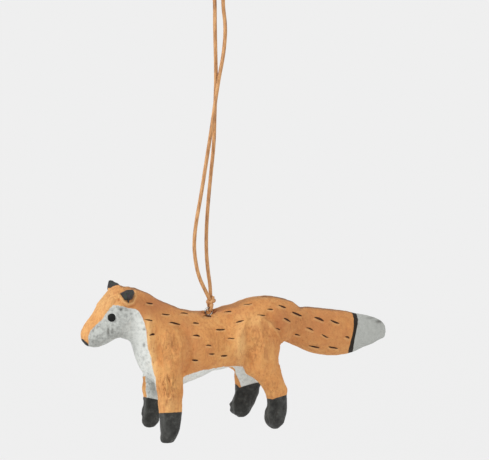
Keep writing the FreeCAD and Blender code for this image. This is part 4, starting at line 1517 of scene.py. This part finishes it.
class FoxColours(bpy.types.PropertyGroup):
    """Paints and finishes."""

    ochre: colour_setting("Ochre", "The coat's main paint", 216, 152, 90)
    # Light ochre: thin paint on the coat, also the painted highlight on the ridges
    ochre_light: colour_setting("Light ochre", "Thin paint on the coat", 223, 166, 102)
    ochre_deep: colour_setting("Deep ochre", "Thick paint on the coat", 198, 132, 76)
    # Yellow ochre for the painted highlight on the lit faces of the coat
    ochre_yellow: colour_setting("Yellow ochre", "The brightest strokes", 236, 192, 130)
    # Brown paint, also used as painted shade behind the shoulder and in the haunch's hollow
    brown: colour_setting("Brown", "The coat along back and tail", 190, 125, 78)
    # Russet: random specks, also the painted shade in the hollows and the creases
    russet: colour_setting("Russet", "Paint that gathered in the hollows", 168, 100, 58)
    bare: colour_setting("Bare pulp", "Reddish pulp round the ring", 196, 124, 88)
    pale: colour_setting("Off-white", "Chest, belly and inner legs", 227, 229, 224)
    pale_grey: colour_setting("Pale grey", "Thin off-white paint", 200, 203, 198)
    face: colour_setting("Face grey", "The sides of the face", 184, 186, 181)
    mottle: colour_setting("Mottle", "Grey pulp that shows through", 142, 144, 140)
    tip: colour_setting("Tail tip", "The end of the tail", 183, 185, 180)
    tip_grey: colour_setting("Tail tip grey", "Thin paint on the end of the tail", 170, 172, 167)
    # Dark smudges on the pale paint, some of them painted shade
    smudge: colour_setting("Smudge", "Dark rubs on the pale paint", 92, 90, 84)
    # Lighter ochre under the dashes, also the painted highlight along the ears' rims
    chip: colour_setting("Chipped edge", "Light rims under the dashes", 226, 184, 128)
    # Painted shade along the top edge of the back
    ridge: colour_setting("Ridge brown", "The thin dark edge of the back", 122, 90, 68)
    reddish: colour_setting("Reddish brown", "Warmer brown in places", 176, 106, 70)
    green_tint: colour_setting("Green tint", "Cool glints on the ears", 52, 64, 58)
    violet_tint: colour_setting("Violet tint", "Warm glints on the ears", 62, 50, 62)
    charcoal: colour_setting("Charcoal", "Paws and ears", 56, 56, 53)
    soot: colour_setting("Soot", "The darkest charcoal", 34, 34, 32)
    # Light dry-brushed charcoal, also the painted highlight on the paws' lit left sides
    scuffed: colour_setting("Scuffed charcoal", "Where the brush ran dry", 82, 83, 80)
    band: colour_setting("Band", "The ring round the tail", 38, 32, 26)
    black: colour_setting("Black", "Eyes and nose", 12, 13, 11)
    dash: colour_setting("Dash brown", "The dashes on the coat", 44, 24, 13)
    dash_thin: colour_setting("Thin dash", "Where a dash runs dry", 84, 48, 26)
    lace: colour_setting("Lace", "The leather cord", 190, 138, 88)
    lace_light: colour_setting("Light lace", "Worn leather", 216, 166, 112)
    lace_dark: colour_setting("Dark lace", "Creased leather", 142, 92, 52)
    steel: colour_setting("Steel", "The screw eye", 205, 202, 196)
    tarnish: colour_setting("Tarnish", "Dull spots on steel", 84, 76, 66)
    wire: colour_setting("Wire", "The wires inside", 120, 118, 116)
    newsprint: colour_setting("Newsprint", "The crumpled cores", 205, 200, 188)
    newsprint_ink: colour_setting("Printed grey", "Printing on the cores", 150, 147, 140)


class FoxStage(bpy.types.PropertyGroup):
    """Floor, background and lamps."""

    background: colour_setting("Background", "Floor and backdrop", 239, 239, 239)
    floor_height: size_setting("Floor height", "Where the floor lies under the fox", -0.245)
    floor_radius: size_setting("Floor radius", "Reach of the floor", 3.0)
    ambient: FloatProperty(name="Ambient", description="Light from the room", default=0.62, min=0)
    key_power: power_setting("Key lamp", "Power of the left lamp", 2.4)
    fill_power: power_setting("Fill lamp", "Power of the right lamp", 2.0)
    top_power: power_setting("Top lamp", "Power of the top lamp", 0.5)
    back_power: power_setting("Rear lamp", "Power of the lamp behind", 1.0)


# The add-on's operators, panel and registration


class FOX_OT_camera(bpy.types.Operator):
    """Set the camera at the picture's angle"""

    bl_idname = "fox.camera"
    bl_label = "Camera"

    def execute(self, context):
        make_camera()
        return {"FINISHED"}


class FOX_OT_cord(bpy.types.Operator):
    """Make the hanging strands, their knot and the turn through the ring"""

    bl_idname = "fox.cord"
    bl_label = "Cord, knot and bight"

    def execute(self, context):
        make_strands(context.scene.fox_sizes, context.scene.fox_colours)
        return {"FINISHED"}


class FOX_OT_skin(bpy.types.Operator):
    """Mould and paint the pulp skin of body, head, tail and legs"""

    bl_idname = "fox.skin"
    bl_label = "Pulp skin"

    def execute(self, context):
        make_skin(context.scene.fox_sizes, context.scene.fox_colours)
        return {"FINISHED"}


class FOX_OT_ears(bpy.types.Operator):
    """Pinch both charcoal ears"""

    bl_idname = "fox.ears"
    bl_label = "Ears"

    def execute(self, context):
        make_ears(context.scene.fox_sizes, context.scene.fox_colours)
        return {"FINISHED"}


class FOX_OT_eyes(bpy.types.Operator):
    """Set both drops of black paint for the eyes"""

    bl_idname = "fox.eyes"
    bl_label = "Eyes"

    def execute(self, context):
        make_eyes(context.scene.fox_sizes, context.scene.fox_colours)
        return {"FINISHED"}


class FOX_OT_nose(bpy.types.Operator):
    """Brush the dark line across the muzzle"""

    bl_idname = "fox.nose"
    bl_label = "Nose stroke"

    def execute(self, context):
        make_nose(context.scene.fox_sizes, context.scene.fox_colours)
        return {"FINISHED"}


class FOX_OT_dashes(bpy.types.Operator):
    """Brush the dark dashes over the coat"""

    bl_idname = "fox.dashes"
    bl_label = "Coat dashes"

    def execute(self, context):
        make_dashes(context.scene.fox_sizes, context.scene.fox_colours)
        return {"FINISHED"}


class FOX_OT_metal(bpy.types.Operator):
    """Finish the screw eye, and the wires and paper inside the fox"""

    bl_idname = "fox.metal"
    bl_label = "Screw eye, wires and cores"

    def execute(self, context):
        finish_metal(context.scene.fox_colours)
        return {"FINISHED"}


class FOX_OT_stage(bpy.types.Operator):
    """Lay the pale floor, the plain room and the soft lamps"""

    bl_idname = "fox.stage"
    bl_label = "Floor and lamps"

    def execute(self, context):
        make_stage(context.scene.fox_stage)
        return {"FINISHED"}


STEPS = (
    FOX_OT_camera, FOX_OT_cord, FOX_OT_skin, FOX_OT_ears, FOX_OT_eyes, FOX_OT_nose,
    FOX_OT_dashes, FOX_OT_metal, FOX_OT_stage,
)
SETTINGS = {"fox_sizes": FoxSizes, "fox_colours": FoxColours, "fox_stage": FoxStage}


class FOX_PT_panel(bpy.types.Panel):
    """The fox's steps and settings in the sidebar."""

    bl_idname = "FOX_PT_panel"
    bl_label = "Hanging Fox"
    bl_space_type = "VIEW_3D"
    bl_region_type = "UI"
    bl_category = "Fox"

    def draw(self, context):
        for step in STEPS:
            self.layout.operator(step.bl_idname)
        for name, group in SETTINGS.items():
            box = self.layout.box()
            for setting in group.__annotations__:
                box.prop(getattr(context.scene, name), setting)


CLASSES = (*SETTINGS.values(), *STEPS, FOX_PT_panel)


def register():
    for group in CLASSES:
        bpy.utils.register_class(group)
    for name, group in SETTINGS.items():
        setattr(bpy.types.Scene, name, PointerProperty(type=group))


def unregister():
    for name in SETTINGS:
        delattr(bpy.types.Scene, name)
    for group in reversed(CLASSES):
        bpy.utils.unregister_class(group)


def main():
    """Runs every step in order."""
    register()
    for step in STEPS:
        group, name = step.bl_idname.split(".")
        getattr(getattr(bpy.ops, group), name)()


if __name__ == "__main__":
    main()
